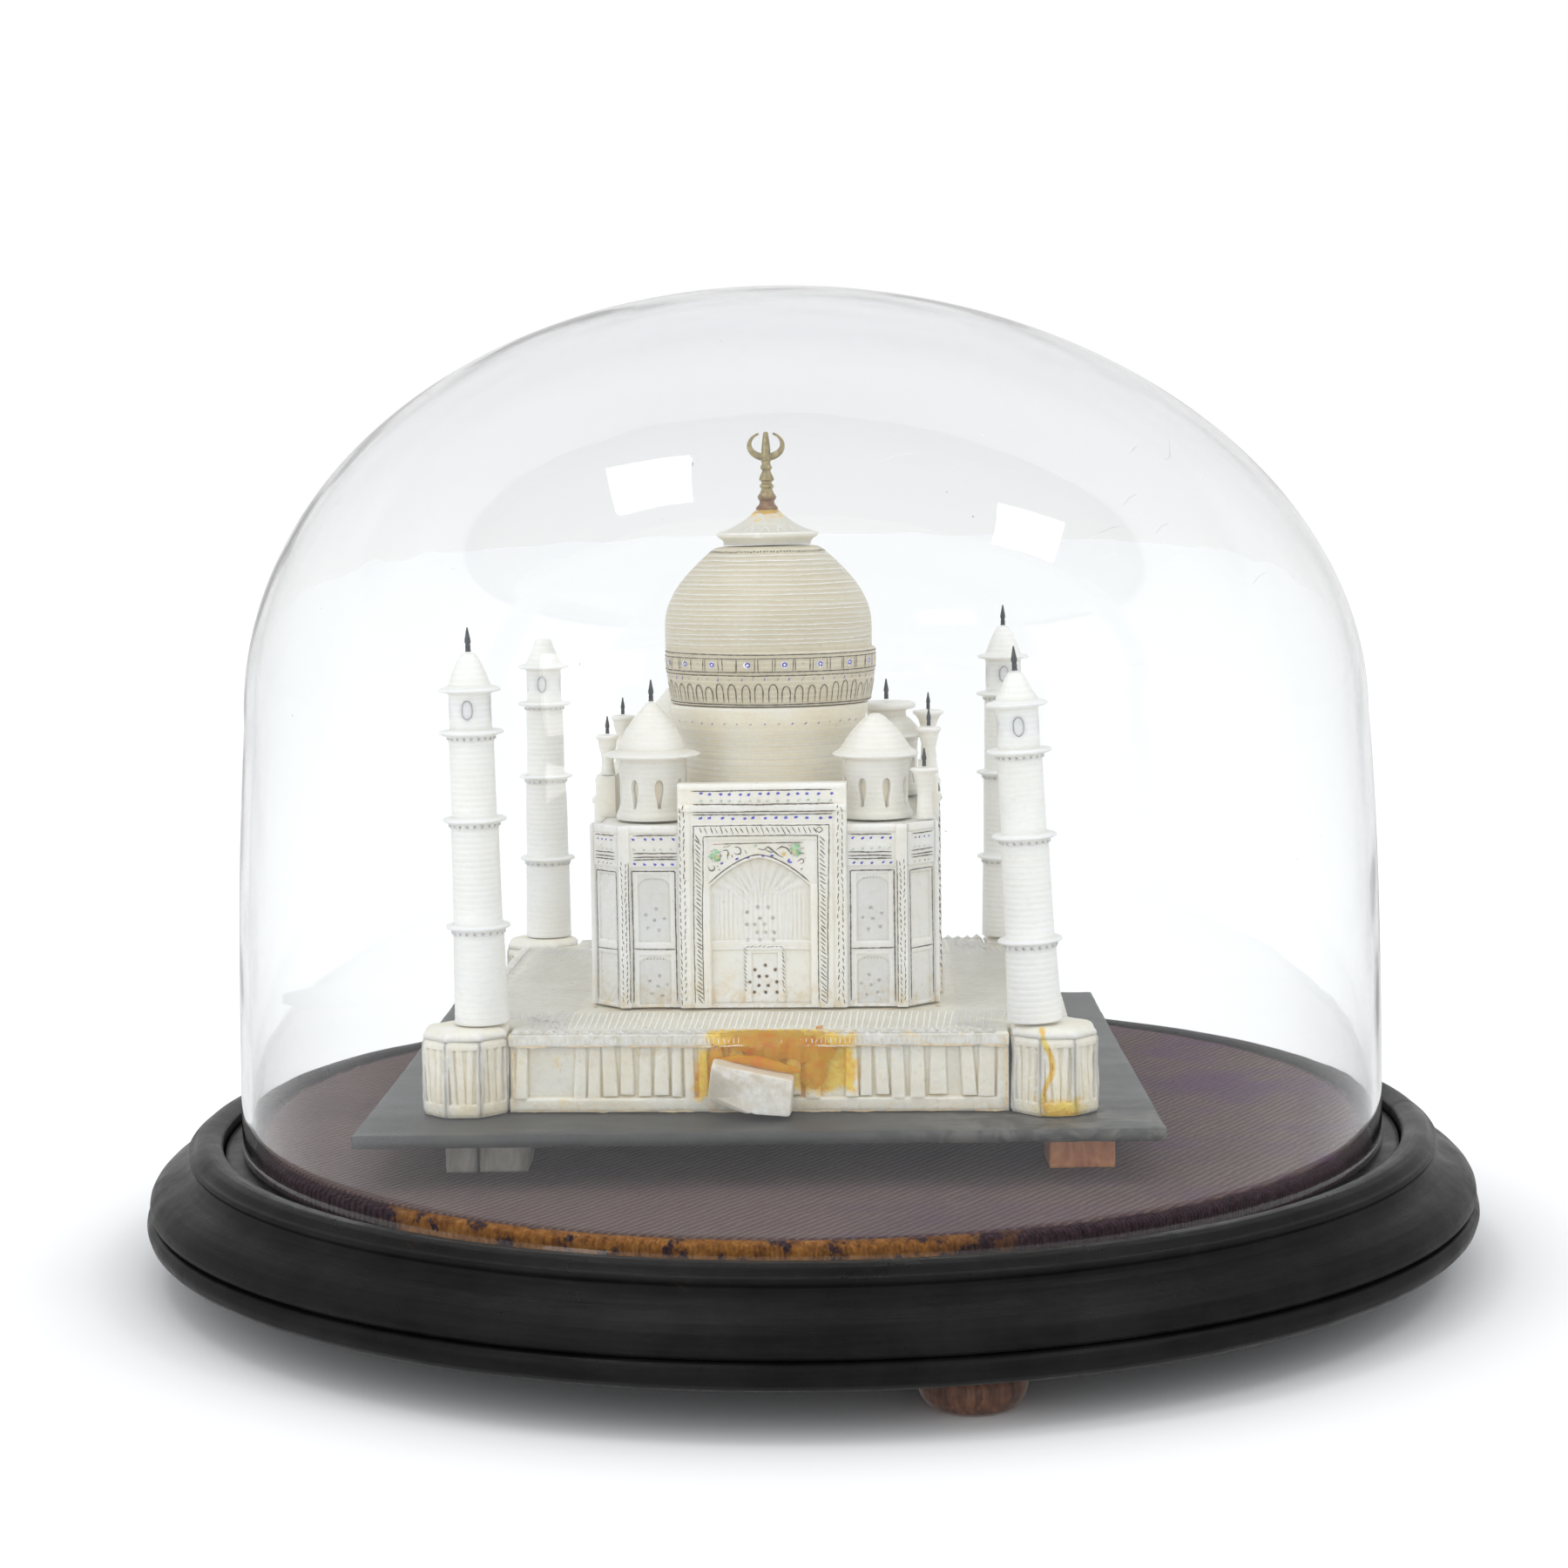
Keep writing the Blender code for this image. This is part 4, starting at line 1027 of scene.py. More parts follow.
def make_bastions():
    """Eight-sided bastions, carved with a sunk panel on each face and heavily worn round the top."""
    across = 9.8
    half_side = across * math.tan(math.pi / 8)
    around = round_angles(96)
    flat = across / np.cos((around + math.pi / 8) % (math.pi / 4) - math.pi / 8)
    for index, corner in enumerate(BASTIONS):
        node = "bastion_" + corner
        middle = in_model(node)
        high = high_of(node)
        rim = high - 1.7
        solid = Solid()

        def carving(x, z, index=index, rim=rim):
            edge = half_side - np.abs(x + 0.25 * ripple(65 + index, z, scale=5.0))
            panel = inside(edge, 1.0, 50, 0.3) * inside(z, 3.0, rim - 2.6, 0.4)
            ridge = 0 * x
            for place, width in ((-2.35, 0.5), (-0.55, 0.75), (1.5, 0.6)):
                drift = 0.12 * index + 0.04 * (z - 9.0) * (1 if place > 0 else -1)
                ridge = ridge + inside(x, place + drift - width, place + drift + width, 0.25) * panel
            worn = 0.55 * ripple(60 + index, x * 1.0, z, scale=3.0)
            soft = 0.3 * np.exp(-((edge / 0.5) ** 2)) + 0.9 * np.exp(-(((rim - z) / 0.9) ** 2))
            foot = 0.4 * np.exp(-((z / 0.5) ** 2))
            return -0.6 * panel + 0.5 * ridge + worn * 0.5 - soft - foot

        for face in range(8):
            place = turned_place(0, -across, 0, 45 * face)
            relief(solid, (-half_side, half_side), (0, rim), 0.24 / FINE, carving, 3.0, place)
        bumps = ripple(68 + index, np.cos(around) * flat, np.sin(around) * flat, scale=2.5)
        crown = ((0.95, rim - 0.6), (0.965, rim), (0.94, rim + 0.6), (0.88, rim + 1.15), (0.80, rim + 1.5))
        rings = []
        for share, height in (*crown, (0.70, high), (0.35, high), (0.01, high)):
            rough = bumps * (share > 0.75)
            reach = flat * share + 0.22 * rough
            rings.append(np.stack([reach * np.cos(around), reach * np.sin(around), height + 0.12 * rough], 1))
        tube(solid, rings, capped=False)
        stuff = drip_stone if corner == "front_right" else bastion_stone
        piece = solid.build(node + "_carved", [stuff], at(middle.x, middle.y, 0, 3.0), sharp=50)
        place_piece(piece, "model", "alabaster", node)


def fluted_face(length, seed):
    """The front of a terrace wall: a plain foot, and applied strips of uneven width, some of them lost."""
    dice = np.random.default_rng(seed)
    strips = []
    along = -length / 2 + 1.2
    while along < length / 2 - 2.0:
        width = dice.uniform(2.2, 3.9)
        if dice.uniform() > 0.05:
            low, rise, lean = 3.4 + dice.uniform(-0.9, 0.5), dice.uniform(0.9, 1.5), dice.normal(0, 0.035)
            strips.append((along + width / 2, width / 2, low, rise, lean))
        along += width + dice.uniform(0.35, 1.2)

    def face(x, z):
        proud = 0 * x
        for middle, half, low, rise, lean in strips:
            offset = np.abs(x - middle - lean * (z - 8.0))
            wide = half * (1.0 - 0.012 * (z - 4.0))
            body = (1 - smooth_step(offset, wide, 0.35)) * smooth_step(z, low, 0.5)
            swell = rise * (1.15 - 0.055 * (z - low)) * (0.86 + 0.14 * np.cos(np.clip(offset / half, 0, 1) * 1.5))
            proud = np.maximum(proud, body * swell)
        foot = 1.25 * (1 - smooth_step(z, 3.2, 0.5))
        uneven = 0.14 * ripple(seed + 1, x, z, scale=2.4)
        chipped = 0.35 * np.clip(ripple(seed + 2, x, z, scale=1.2) - 0.55, 0, 1)
        return np.maximum(proud, foot) - 1.7 + uneven - chipped - 0.3 * np.exp(-((z / 0.4) ** 2))

    return face


def make_walls():
    slope = math.radians(-MODEL_TURN)
    for index, (side, turn) in enumerate(SIDES.items()):
        node = "terrace_wall_" + side
        low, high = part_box(node)
        middle = Matrix.Rotation(math.radians(-turn), 3, "Z") @ (MODEL.inverted() @ centre(node)) / MM
        length = max(high.x - low.x, high.y - low.y) / MM - 4.0 * math.sin(slope)
        length = length / math.cos(slope) - 0.1
        x_range = (middle.x - length / 2, middle.x + length / 2)
        solid = Solid()
        face = fluted_face(length, 70 + 5 * index)
        place = turned_place(0, -WALL_FACE - 0.35, 0, turn)
        relief(solid, x_range, (0, high_of(node) + 0.35), 0.22 / FINE, face, 3.2, place)
        piece = solid.build(node + "_fluted", [wall_stone], MODEL, sharp=50)
        place_piece(piece, "model", "warm_alabaster", node)


PORTAL_HALF = 19.8
PORTAL_FACE = 41.6
WALL_PLANE = 40.5
CORNER_CUT = 6.6


def floor_outline(edge):
    """The notched square of the floor, in the model's frame."""
    clear = 9.8 + 0.3
    flat = 9.8 * math.tan(math.pi / 8) + 0.3
    outline = []
    for index, corner in enumerate(BASTIONS):
        middle = in_model("bastion_" + corner)
        x, y = middle.x, middle.y
        side_x = math.copysign(1, x)
        side_y = math.copysign(1, y)
        notch = [
            (side_x * edge, y - side_y * clear),
            (x - side_x * flat, y - side_y * clear),
            (x - side_x * clear, y - side_y * flat),
            (x - side_x * clear, side_y * edge),
        ]
        outline += notch if index % 2 == 0 else notch[::-1]
    return outline


def make_floor():
    """The paved floor: a slab notched round the bastions, with a toothed edge."""
    edge = 70.6
    low = low_of("terrace_floor")
    high = FLOOR_TOP
    outline = floor_outline(edge)
    solid = Solid()
    levels = ((low, 1.0), (high - 0.9, 1.0), (high - 0.55, 0.9965), (high - 0.3, 0.991))
    tube(solid, [[(x * scale, y * scale, z) for x, y in outline] for z, scale in levels])
    dice = np.random.default_rng(81)
    for turn in SIDES.values():
        rotate = Matrix.Rotation(math.radians(turn), 3, "Z")
        near = 56.0 if turn != 180 else 53.0
        tooth = -56.0 + 1.2
        while tooth < near - 1.2:
            size = 1.15 + 0.15 * dice.normal()
            rise = 0.55 + 0.12 * dice.normal()
            shape = [(-size, -edge + 0.15, -0.35), (size, -edge + 0.15, -0.35), (0, -edge + 0.2, rise)]
            shape += [(-size, -edge + 2.3, -0.3), (size, -edge + 2.3, -0.3), (0, -edge + 1.9, rise * 0.6)]
            corners = [tuple(rotate @ Vector((x + tooth, y, z + high - 0.1))) for x, y, z in shape]
            solid.add(corners, [[0, 1, 2], [5, 4, 3], [0, 3, 4, 1], [1, 4, 5, 2], [2, 5, 3, 0]])
            tooth += 2.6 + 0.1 * dice.normal()
    piece = solid.build("terrace_floor_paved", [floor_stone], MODEL, sharp=30)
    place_piece(piece, "model", "warm_alabaster", "terrace_floor")
    score_floor(dice, high)
    run_glue_lines(dice, low, high)


def score_floor(dice, high):
    """Slanting lines round the building and a zigzag along the edge, scored in the floor."""
    lines = Ink(lambda u, v: np.stack([u, v, u * 0 + high - 0.22], 1), 82)
    for turn in SIDES.values():
        rotate = np.array(Matrix.Rotation(math.radians(turn), 2))
        slant = 0.0 if turn in (0, 180) else 9.0
        for along in np.arange(-66, 66, 1.55):
            inner = -43.5 - dice.uniform(0, 1.5)
            outer = -66.0 - dice.uniform(0, 0.6)
            if abs(along) > 54:
                outer = -54.5 + dice.uniform(-0.5, 0.5)
            shift = 0.02 * along + dice.normal(0, 0.12)
            start = rotate @ np.array([along - shift - slant / 2, outer])
            finish = rotate @ np.array([along - dice.normal(0, 0.15) + slant / 2, inner])
            lines.stroke([start, finish], 0.32, WHITE, 0.12)
        for along in np.arange(-55, 55.5, 2.6):
            for slope in (-1, 1):
                start = rotate @ np.array([along, -69.0])
                finish = rotate @ np.array([along + slope * 1.3, -66.6])
                lines.stroke([start, finish], 0.34, WHITE if slope > 0 else SCORED, 0.05)
    place_piece(lines.solid.build("terrace_scored_lines", INKS, MODEL), "model", "warm_alabaster")


def broken(dice, start, finish, last, long, gap):
    """The stretches (start, end) of a broken line, with these ranges of length and gap."""
    while start < finish:
        end = min(start + dice.uniform(*long), last)
        yield start, end
        start = end + dice.uniform(*gap)


def on_floor(height, turn):
    """A drawing surface at a height in the model's frame, turned about Z."""
    rotate = np.array(Matrix.Rotation(math.radians(turn), 2))
    return lambda u, v: np.concatenate([np.stack([u, v], 1) @ rotate.T, u[:, None] * 0 + height], 1)


def run_glue_lines(dice, low, high):
    """Glue in the joints of wall, floor and bastions and round the building's foot, and nicks in the wall's edge."""
    glue = Solid()
    for turn in SIDES.values():
        place = turned_place(0, -WALL_FACE - 0.42, 0, turn)
        pen = Ink(on_relief(lambda x, z: 0 * x, place), 84 + turn)
        for level, thick in ((low - 0.1, 0.42), (0.35, 0.35)):
            for start, end in broken(dice, -55.0, 54.0, 55.5, (6, 22), (0, 4)):
                line = [(start, level + dice.normal(0, 0.06)), (end, level + dice.normal(0, 0.06))]
                pen.stroke(line, thick * dice.uniform(0.5, 1.1), GLUE, 0.16)
        for edge in (-55.6, 55.8):
            pen.stroke([(edge, 0.6), (edge + 0.2, 6.0), (edge, 14.6)], 0.4, GLUE, 0.15)
        for x in np.arange(-55, 55, 1.1):
            nick = [(x + dice.normal(0, 0.15), low + 0.5)]
            nick.append((x + dice.normal(0, 0.15), high - 1.2 - dice.uniform(0, 0.6)))
            pen.stroke(nick, 0.22, WHITE, 0.08)
        glue.take(pen.solid)
        pen = Ink(on_floor(high - 0.12, turn), 86 + turn)
        for start, finish, depth in ((-38, -22, WALL_PLANE), (-19.5, 19.5, PORTAL_FACE), (22, 38, WALL_PLANE)):
            for x, end in broken(dice, start, finish, finish, (2, 9), (0, 2.5)):
                bend = (0.5 * (x + end), -depth - 0.35 + dice.normal(0, 0.1))
                pen.stroke([(x, -depth - 0.2), bend, (end, -depth - 0.2)], dice.uniform(0.4, 1.0), GLUE, 0.25)
        glue.take(pen.solid)
    place_piece(glue.build("terrace_glue_lines", INKS, MODEL), "model", "warm_alabaster")


def make_step():
    """The loose block glued in front of the terrace. Its lower left corner has split away along one facet."""
    outline = np.array([(-10.8, 3.2), (-0.5, 0.6), (8.3, 0.1), (9.0, 8.5), (-9.3, 12.4)])
    front, back = -79.6, -71.2
    rows = 16
    side_steps = 22
    middle = outline.mean(0)
    rings = []
    for row in range(rows + 1):
        share = row / rows
        inset = 0.35 * (math.exp(-((share / 0.06) ** 2)) + math.exp(-(((1 - share) / 0.06) ** 2)))
        dense = []
        for start, end in zip(outline, np.roll(outline, -1, axis=0)):
            for step in range(side_steps):
                point = start + (end - start) * step / side_steps
                corner = min(step, side_steps - step) / side_steps
                way = point - middle
                worn = inset + 0.35 * math.exp(-((corner / 0.05) ** 2))
                dense.append(point - way / np.linalg.norm(way) * worn)
        x, z = np.array(dense).T
        y = np.full(len(dense), front + (back - front) * share)
        wobble = 0.16 * ripple(91, x, z, y, scale=2.5)
        rings.append(np.stack([x + wobble, y, z + wobble], 1))
    points = np.concatenate(rings)
    columns = len(rings[0])
    # the split facet and the rubbed top, each a plane through three points of the block
    for corners in (
        ((-9.2, front, 11.6), (-0.2, front, 0.6), (-10.8, front + 4.2, 3.2)),
        ((-5.2, front, 11.4), (9.0, front + 1.2, 8.5), (-9.3, front + 3.5, 12.4)),
    ):
        first, second, third = np.array(corners)
        normal = np.cross(second - first, third - first)
        normal /= np.linalg.norm(normal)
        if normal @ (first - np.array([0.0, (front + back) / 2, 6.0])) < 0:
            normal = -normal
        over = np.clip((points - first) @ normal, 0, None)
        points = points - over[:, None] * normal
    faces = grid_faces(rows + 1, columns, wrap=True, flip=True)
    for end, flip in ((0, False), (rows, True)):
        hub = len(points)
        points = np.concatenate([points, points[end * columns : (end + 1) * columns].mean(0)[None]])
        for step in range(columns):
            face = [end * columns + step, end * columns + (step + 1) % columns, hub]
            faces.append(face[::-1] if flip else face)
    solid = Solid()
    solid.add(points, faces)
    piece = solid.build("step_block_chipped", [step_stone], at(-0.6, 0, 0.5), sharp=22)
    place_piece(piece, "model", "warm_alabaster", "step_block")


# ---------------------------------------------------------------- building

WINDOW_ROWS = (
    (34.4, (-3.9, -1.0, 2.2)),
    (36.2, (-1.6, 0.4, 2.4)),
    (38.1, (-4.0, -2.2, 0.2)),
    (39.6, (-0.9, 2.2)),
    (41.0, (-3.9,)),
    (42.2, (-1.4, 1.1)),
)
DOOR_ROWS = (
    (21.9, (-2.5, 0.2, 2.9)),
    (23.5, (-1.4, 0.8)),
    (24.4, (-3.5, 2.9)),
    (25.7, (-1.3, 0.5)),
    (27.3, (-2.3, 2.6)),
    (28.3, (0.2,)),
)


def pierced(rows):
    return [(x, height) for height, places in rows for x in places]


def ring_of_holes(x, z, radius):
    """Five pierced holes round one."""
    holes = [(x, z)]
    for step in range(5):
        angle = math.radians(100 + 72 * step)
        holes.append((x + radius * math.cos(angle), z + radius * 1.15 * math.sin(angle)))
    return holes


def arch_height(x):
    """The painted arch over the portal's niche."""
    share = np.clip(np.abs(x + 0.7) / 11.9, 0, 1)
    return 48.4 + 6.7 * (1 - share**1.65)


def hole_depth(x, z, holes, radius, depth):
    total = 0 * x
    for hole_x, hole_z in holes:
        away = np.hypot(x - hole_x, z - hole_z)
        total = np.maximum(total, 1 - smooth_step(away, radius, 0.25))
    return depth * total


def portal_depth(x, z):
    """How far each point of a portal's face stands proud of its plane."""
    base = low_of("portal_front")
    arch = arch_height(x) - 0.9
    across = 11.8 - np.abs(x + 0.7)
    niche = smooth_step(across, 0.0, 0.5) * smooth_step(arch - z, 0.0, 0.6) * smooth_step(z, base + 0.6, 0.4)
    bowl = np.sqrt(np.clip(1 - (np.abs(x + 0.7) / 13.0) ** 2, 0, 1))
    fan_angle = np.arctan2(z - 43.0, x + 0.7)
    fan = 0.5 + 0.5 * np.cos(fan_angle * 26)
    upright = 0.5 + 0.5 * np.cos((x + 0.7) * 2 * math.pi / 1.15)
    high = smooth_step(z, 46.0, 3.0)
    middle = inside(z, 34.6, 46.0, 2.0)
    vault = 1 - 0.55 * np.clip((z - 48.0) / 8.0, 0, 1)
    carved = -(1.2 + 1.7 * bowl * vault) + 0.30 * fan * high + 0.20 * upright * middle
    carved += 0.5 * inside(z, 32.3, 34.2, 0.4)
    door_frame = inside(np.abs(x - 0.1), 3.1, 4.7, 0.3) * inside(z, base + 0.8, 33.2, 0.4)
    door_head = inside(np.abs(x - 0.1), -1, 4.7, 0.3) * inside(z, 31.4, 33.2, 0.4)
    carved += 0.55 * np.maximum(door_frame, door_head)
    carved -= hole_depth(x, z, pierced(WINDOW_ROWS), 0.42, 0.55)
    carved -= hole_depth(x, z, pierced(DOOR_ROWS), 0.45, 0.7)
    flat = 0.0 * x
    frame_side = inside(np.abs(x), 13.3, 16.4, 0.3) * inside(z, 0, 62.4, 0.3)
    frame_head = inside(np.abs(x), -1, 16.4, 0.3) * inside(z, 59.5, 62.4, 0.3)
    flat += 0.32 * np.maximum(frame_side, frame_head)
    flat += 0.22 * inside(np.abs(x), 17.2, 19.5, 0.3) * inside(z, 0, 66.6, 0.3)
    flat += 0.5 * inside(z, 65.3, 66.9, 0.35) - 0.15 * inside(z, 67.0, 70.4, 0.3)
    flat -= 0.25 * inside(np.abs(x), -1, 12.9, 0.4) * inside(z, arch_height(x) - 0.4, 58.6, 0.4)
    uneven = 0.07 * ripple(101, x, z, scale=3.2)
    worn = 0.35 * np.exp(-(((PORTAL_HALF - np.abs(x)) / 0.35) ** 2)) + 0.4 * np.exp(-(((PORTAL_TOP - z) / 0.4) ** 2))
    return niche * carved + (1 - niche) * flat + uneven - worn


def draw_spandrels(pen):
    """The arch, and over it a flower to each side with scrolls between them."""
    dice = pen.dice
    pen.stroke([(-11.6, 57.5), (-9, 57.65)], 0.22, RUSSET, 0.05)
    pen.stroke([(-9.4, 57.62), (0, 57.8), (9.6, 57.9)], 0.22, BLACK, 0.08)
    across = np.linspace(-12.75, 11.0, 40)
    pen.stroke(list(zip(across, arch_height(across))), 0.26, BLACK, 0.08)
    blues = [(-9.5, 53.1, 25), (-6.0, 54.1, 25), (-3.4, 54.4, 12), (0.2, 54.8, 0), (2.3, 54.8, -8)]
    blues += [(6.2, 53.7, 60), (6.5, 53.3, -10)]
    for x, height, tilt in blues:
        pen.dot(x, height, 0.24, BLUE, 1.8, tilt)
    for middle, bud in (((-11.0, 54.9), (-10.6, 54.35)), ((7.9, 56.2), (7.5, 55.7))):
        for petal in range(9):
            angle = math.radians(40 * petal + 9)
            way = (middle[0] + 0.75 * math.cos(angle), middle[1] + 0.95 * math.sin(angle))
            pen.dot(*way, 0.5, GREEN if petal % 3 else PALE_GREEN, 1.25, 40 * petal)
        pen.dot(*bud, 0.5, OCHRE)
        pen.ring(*bud, 0.62, 0.16, RUSSET)
        for tick in range(8):
            angle = math.radians(44 * tick + dice.uniform(0, 20))
            x, height = middle[0] + 1.5 * math.cos(angle), middle[1] + 1.45 * math.sin(angle)
            pen.dash(x, height, 0.4, math.degrees(angle) + 20, 0.2, BLACK if tick % 3 else RUSSET)
    pen.dot(5.1, 55.2, 0.52, OCHRE)
    pen.dot(-7.9, 55.1, 0.26, OCHRE)
    pen.dot(-1.6, 57.2, 0.3, PALE_GREEN, 1.6, 20)
    scrolls = (
        [(-10.2, 53.7), (-9.8, 54.4), (-9.9, 55.4), (-10.4, 55.8)],
        [(-12.8, 52.4), (-12.6, 51.6), (-12.0, 51.2), (-11.4, 51.6), (-11.2, 52.2), (-11.6, 52.6)],
        [(-9.4, 56.1), (-8.2, 56.2), (-7.9, 55.6), (-8.3, 54.6), (-8.0, 54.0)],
        [(-6.5, 56.9), (-5.6, 56.9), (-4.9, 56.1), (-5.2, 55.3), (-6.2, 55.1), (-6.6, 55.6)],
        [(-4.1, 56.2), (-3.6, 55.3)],
        [(-7.2, 55.2), (-7.0, 54.4)],
        [(-0.9, 56.5), (0.4, 56.1), (1.4, 56.9), (2.8, 55.9), (3.8, 54.9), (4.9, 54.4)],
        [(0.8, 56.2), (2.0, 55.6), (3.0, 55.8)],
        [(3.3, 56.2), (4.6, 57.0), (5.9, 56.6), (6.5, 55.6), (7.1, 55.3)],
        [(8.3, 55.6), (9.2, 55.3), (9.8, 55.4)],
        [(8.2, 53.4), (9.2, 54.1), (9.8, 53.9), (9.6, 53.0), (8.9, 52.9)],
        [(9.0, 51.4), (9.4, 51.9)],
        [(-10.4, 51.4), (-10.0, 51.8)],
    )
    for scroll in scrolls:
        pen.stroke(scroll, 0.27, BLACK, 0.04)
    ticks = [(-8.9, 57.1, 20, BLACK), (-8.3, 56.9, 110, BLACK), (-7.7, 57.0, 50, BLACK), (6.3, 57.3, 120, RUSSET)]
    ticks += [(6.9, 57.5, 60, RUSSET), (9.7, 56.7, 150, BLACK), (10.0, 55.2, 90, RUSSET)]
    ticks += [(10.1, 54.2, 80, RUSSET), (-10.6, 52.4, 30, RUSSET)]
    for x, height, tilt, slot in ticks:
        pen.dash(x, height, 0.45, tilt, 0.2, slot)


def score_niche(pen):
    """White scores in the niche: a fan in its head, uprights below, and two sills."""
    dice = pen.dice
    for line in range(19):
        angle = math.radians(38 + 108 * line / 18 + dice.normal(0, 2.5))
        start_far = 3.0 + dice.uniform(0, 1.6)
        long = 10.0 + 1.4 * dice.normal()
        start = (-0.9 + start_far * math.cos(angle), 41.0 + start_far * math.sin(angle))
        end_x = -0.9 + long * math.cos(angle)
        end_z = min(41.6 + long * math.sin(angle), float(arch_height(np.array(end_x))) - 1.4)
        bend = (0.5 * (start[0] + end_x) + dice.normal(0, 0.3), 0.5 * (start[1] + end_z) + dice.normal(0, 0.3))
        pen.stroke([start, bend, (end_x, end_z)], 0.2, WHITE, 0.2)
    for x in np.arange(-11.6, 10.4, 0.95):
        if abs(x + 0.7) > 4.4:
            head = 48.5 - 0.33 * max(0.0, abs(x + 0.7) - 7.0) ** 1.5
            pen.stroke([(x, 35.2), (x + dice.normal(0, 0.1), head)], 0.2, WHITE, 0.15)
    for height in (34.3, 32.5):
        pen.stroke([(-12.4, height), (0, height + 0.1), (11.0, height)], 0.26, WHITE, 0.12)


def portal_ink(pen):
    """The drawing on a portal: friezes of dots, a hatched frame, dashed edges, spandrel flowers and the arch."""
    dice = pen.dice
    for height, left, right in ((70.15, -16.6, 16.4), (67.0, -16.2, 17.0), (65.2, -16.3, 17.2), (64.55, -16.2, 16.5)):
        pen.stroke([(left, height), (0, height + dice.normal(0, 0.08)), (right, height + 0.1)], 0.24, BLACK, 0.12)
    for height, slot, count in ((69.35, BLUE, 14), (67.75, PALE_GREEN, 14), (63.75, BLUE, 13)):
        for x in np.linspace(-14.2, 15.6, count):
            pen.dot(x + dice.normal(0, 0.25), height + dice.normal(0, 0.1), 0.31, slot, 1.4, dice.uniform(0, 40))
    outer = [(-16.2, 20.0), (-16.3, 40), (-16.25, 62.1), (0, 62.15), (15.8, 62.05), (15.3, 40), (14.9, 20.0)]
    inner = [(-14.2, 20.4), (-14.2, 40), (-13.8, 59.6), (0, 59.75), (13.1, 59.6), (12.95, 40), (12.9, 20.0)]
    pen.stroke(outer, 0.22, BLACK, 0.18)
    pen.stroke(inner, 0.2, BLACK, 0.18)
    for height in np.arange(20.6, 60.0, 1.04):
        pen.dash(-15.1, height, 1.65, 134, 0.31)
        pen.dash(14.1, height - 0.2, 1.65, 138, 0.31)
    for x in np.arange(-14.4, 12.6, 1.22):
        pen.dash(x, 60.9, 1.6, 118, 0.3)
    pen.stroke([(12.6, 60.9), (13.5, 61.7), (14.4, 60.9), (13.5, 60.2), (12.6, 60.9)], 0.18, BLACK, 0.03)
    for side, near in ((-1, 18.35), (1, 17.75)):
        for height in np.arange(20.2, 65.6, 1.62):
            pen.dash(side * (near + 1.0), height, 1.15, 98, 0.3)
            pen.dash(side * near, height + 0.8, 1.1, 82, 0.3)
            if dice.uniform() < 0.16:
                pen.dot(side * (near + 0.5), height + 0.4, 0.16, PALE_GREEN)
    draw_spandrels(pen)
    for x in (-4.45, 4.5):
        for height in np.arange(22.6, 33.0, 0.98):
            pen.dash(x, height, 1.0, 128 if x < 0 else 118, 0.26)
    for x in np.arange(-3.9, 4.2, 0.98):
        pen.dash(x, 33.0, 0.8, 18, 0.22)
    score_niche(pen)
    # painted shade: grey discs in the window holes and dark discs in the door holes stand for the shade inside them
    for x, height in pierced(WINDOW_ROWS):
        pen.dot(x, height, 0.37, HOLE_SHADE_PALE)
    for x, height in pierced(DOOR_ROWS):
        pen.dot(x, height, 0.36, HOLE_SHADE_DARK)


def cornice(z):
    return 0.35 * inside(z, 52.2, 59.9, 0.4) + 0.3 * inside(z, 60.2, 62.5, 0.4)


def wing_depth(x, z):
    """The carving of a wing, with x measured from the portal's side outwards."""
    floor = low_of("mausoleum_body")
    upper = inside(x, 2.8, 10.4, 0.35) * inside(z, 34.2, 50.4, 0.35)
    lower = inside(x, 2.8, 10.4, 0.35) * inside(z, floor + 0.6, 31.2, 0.35)
    arch = np.clip(1 - ((x - 6.6) / 3.9) ** 2, 0, 1) ** 0.5
    head = smooth_step(z, 47.2 + 2.4 * arch, 0.4) * upper + smooth_step(z, 28.6 + 2.2 * arch, 0.4) * lower
    pilaster = inside(x, 12.2, 15.0, 0.3)
    holes = ring_of_holes(6.6, 39.4, 2.35) + ring_of_holes(6.0, 23.7, 2.2)
    carved = -0.6 * np.maximum(upper, lower) + 0.34 * head + 0.85 * pilaster + cornice(z) * (1 - pilaster)
    carved -= hole_depth(x, z, holes, 0.36, 0.5)
    return carved + 0.07 * ripple(111, x, z, scale=3.0) - 0.4 * np.exp(-(((ROOF_TOP - z) / 0.4) ** 2))


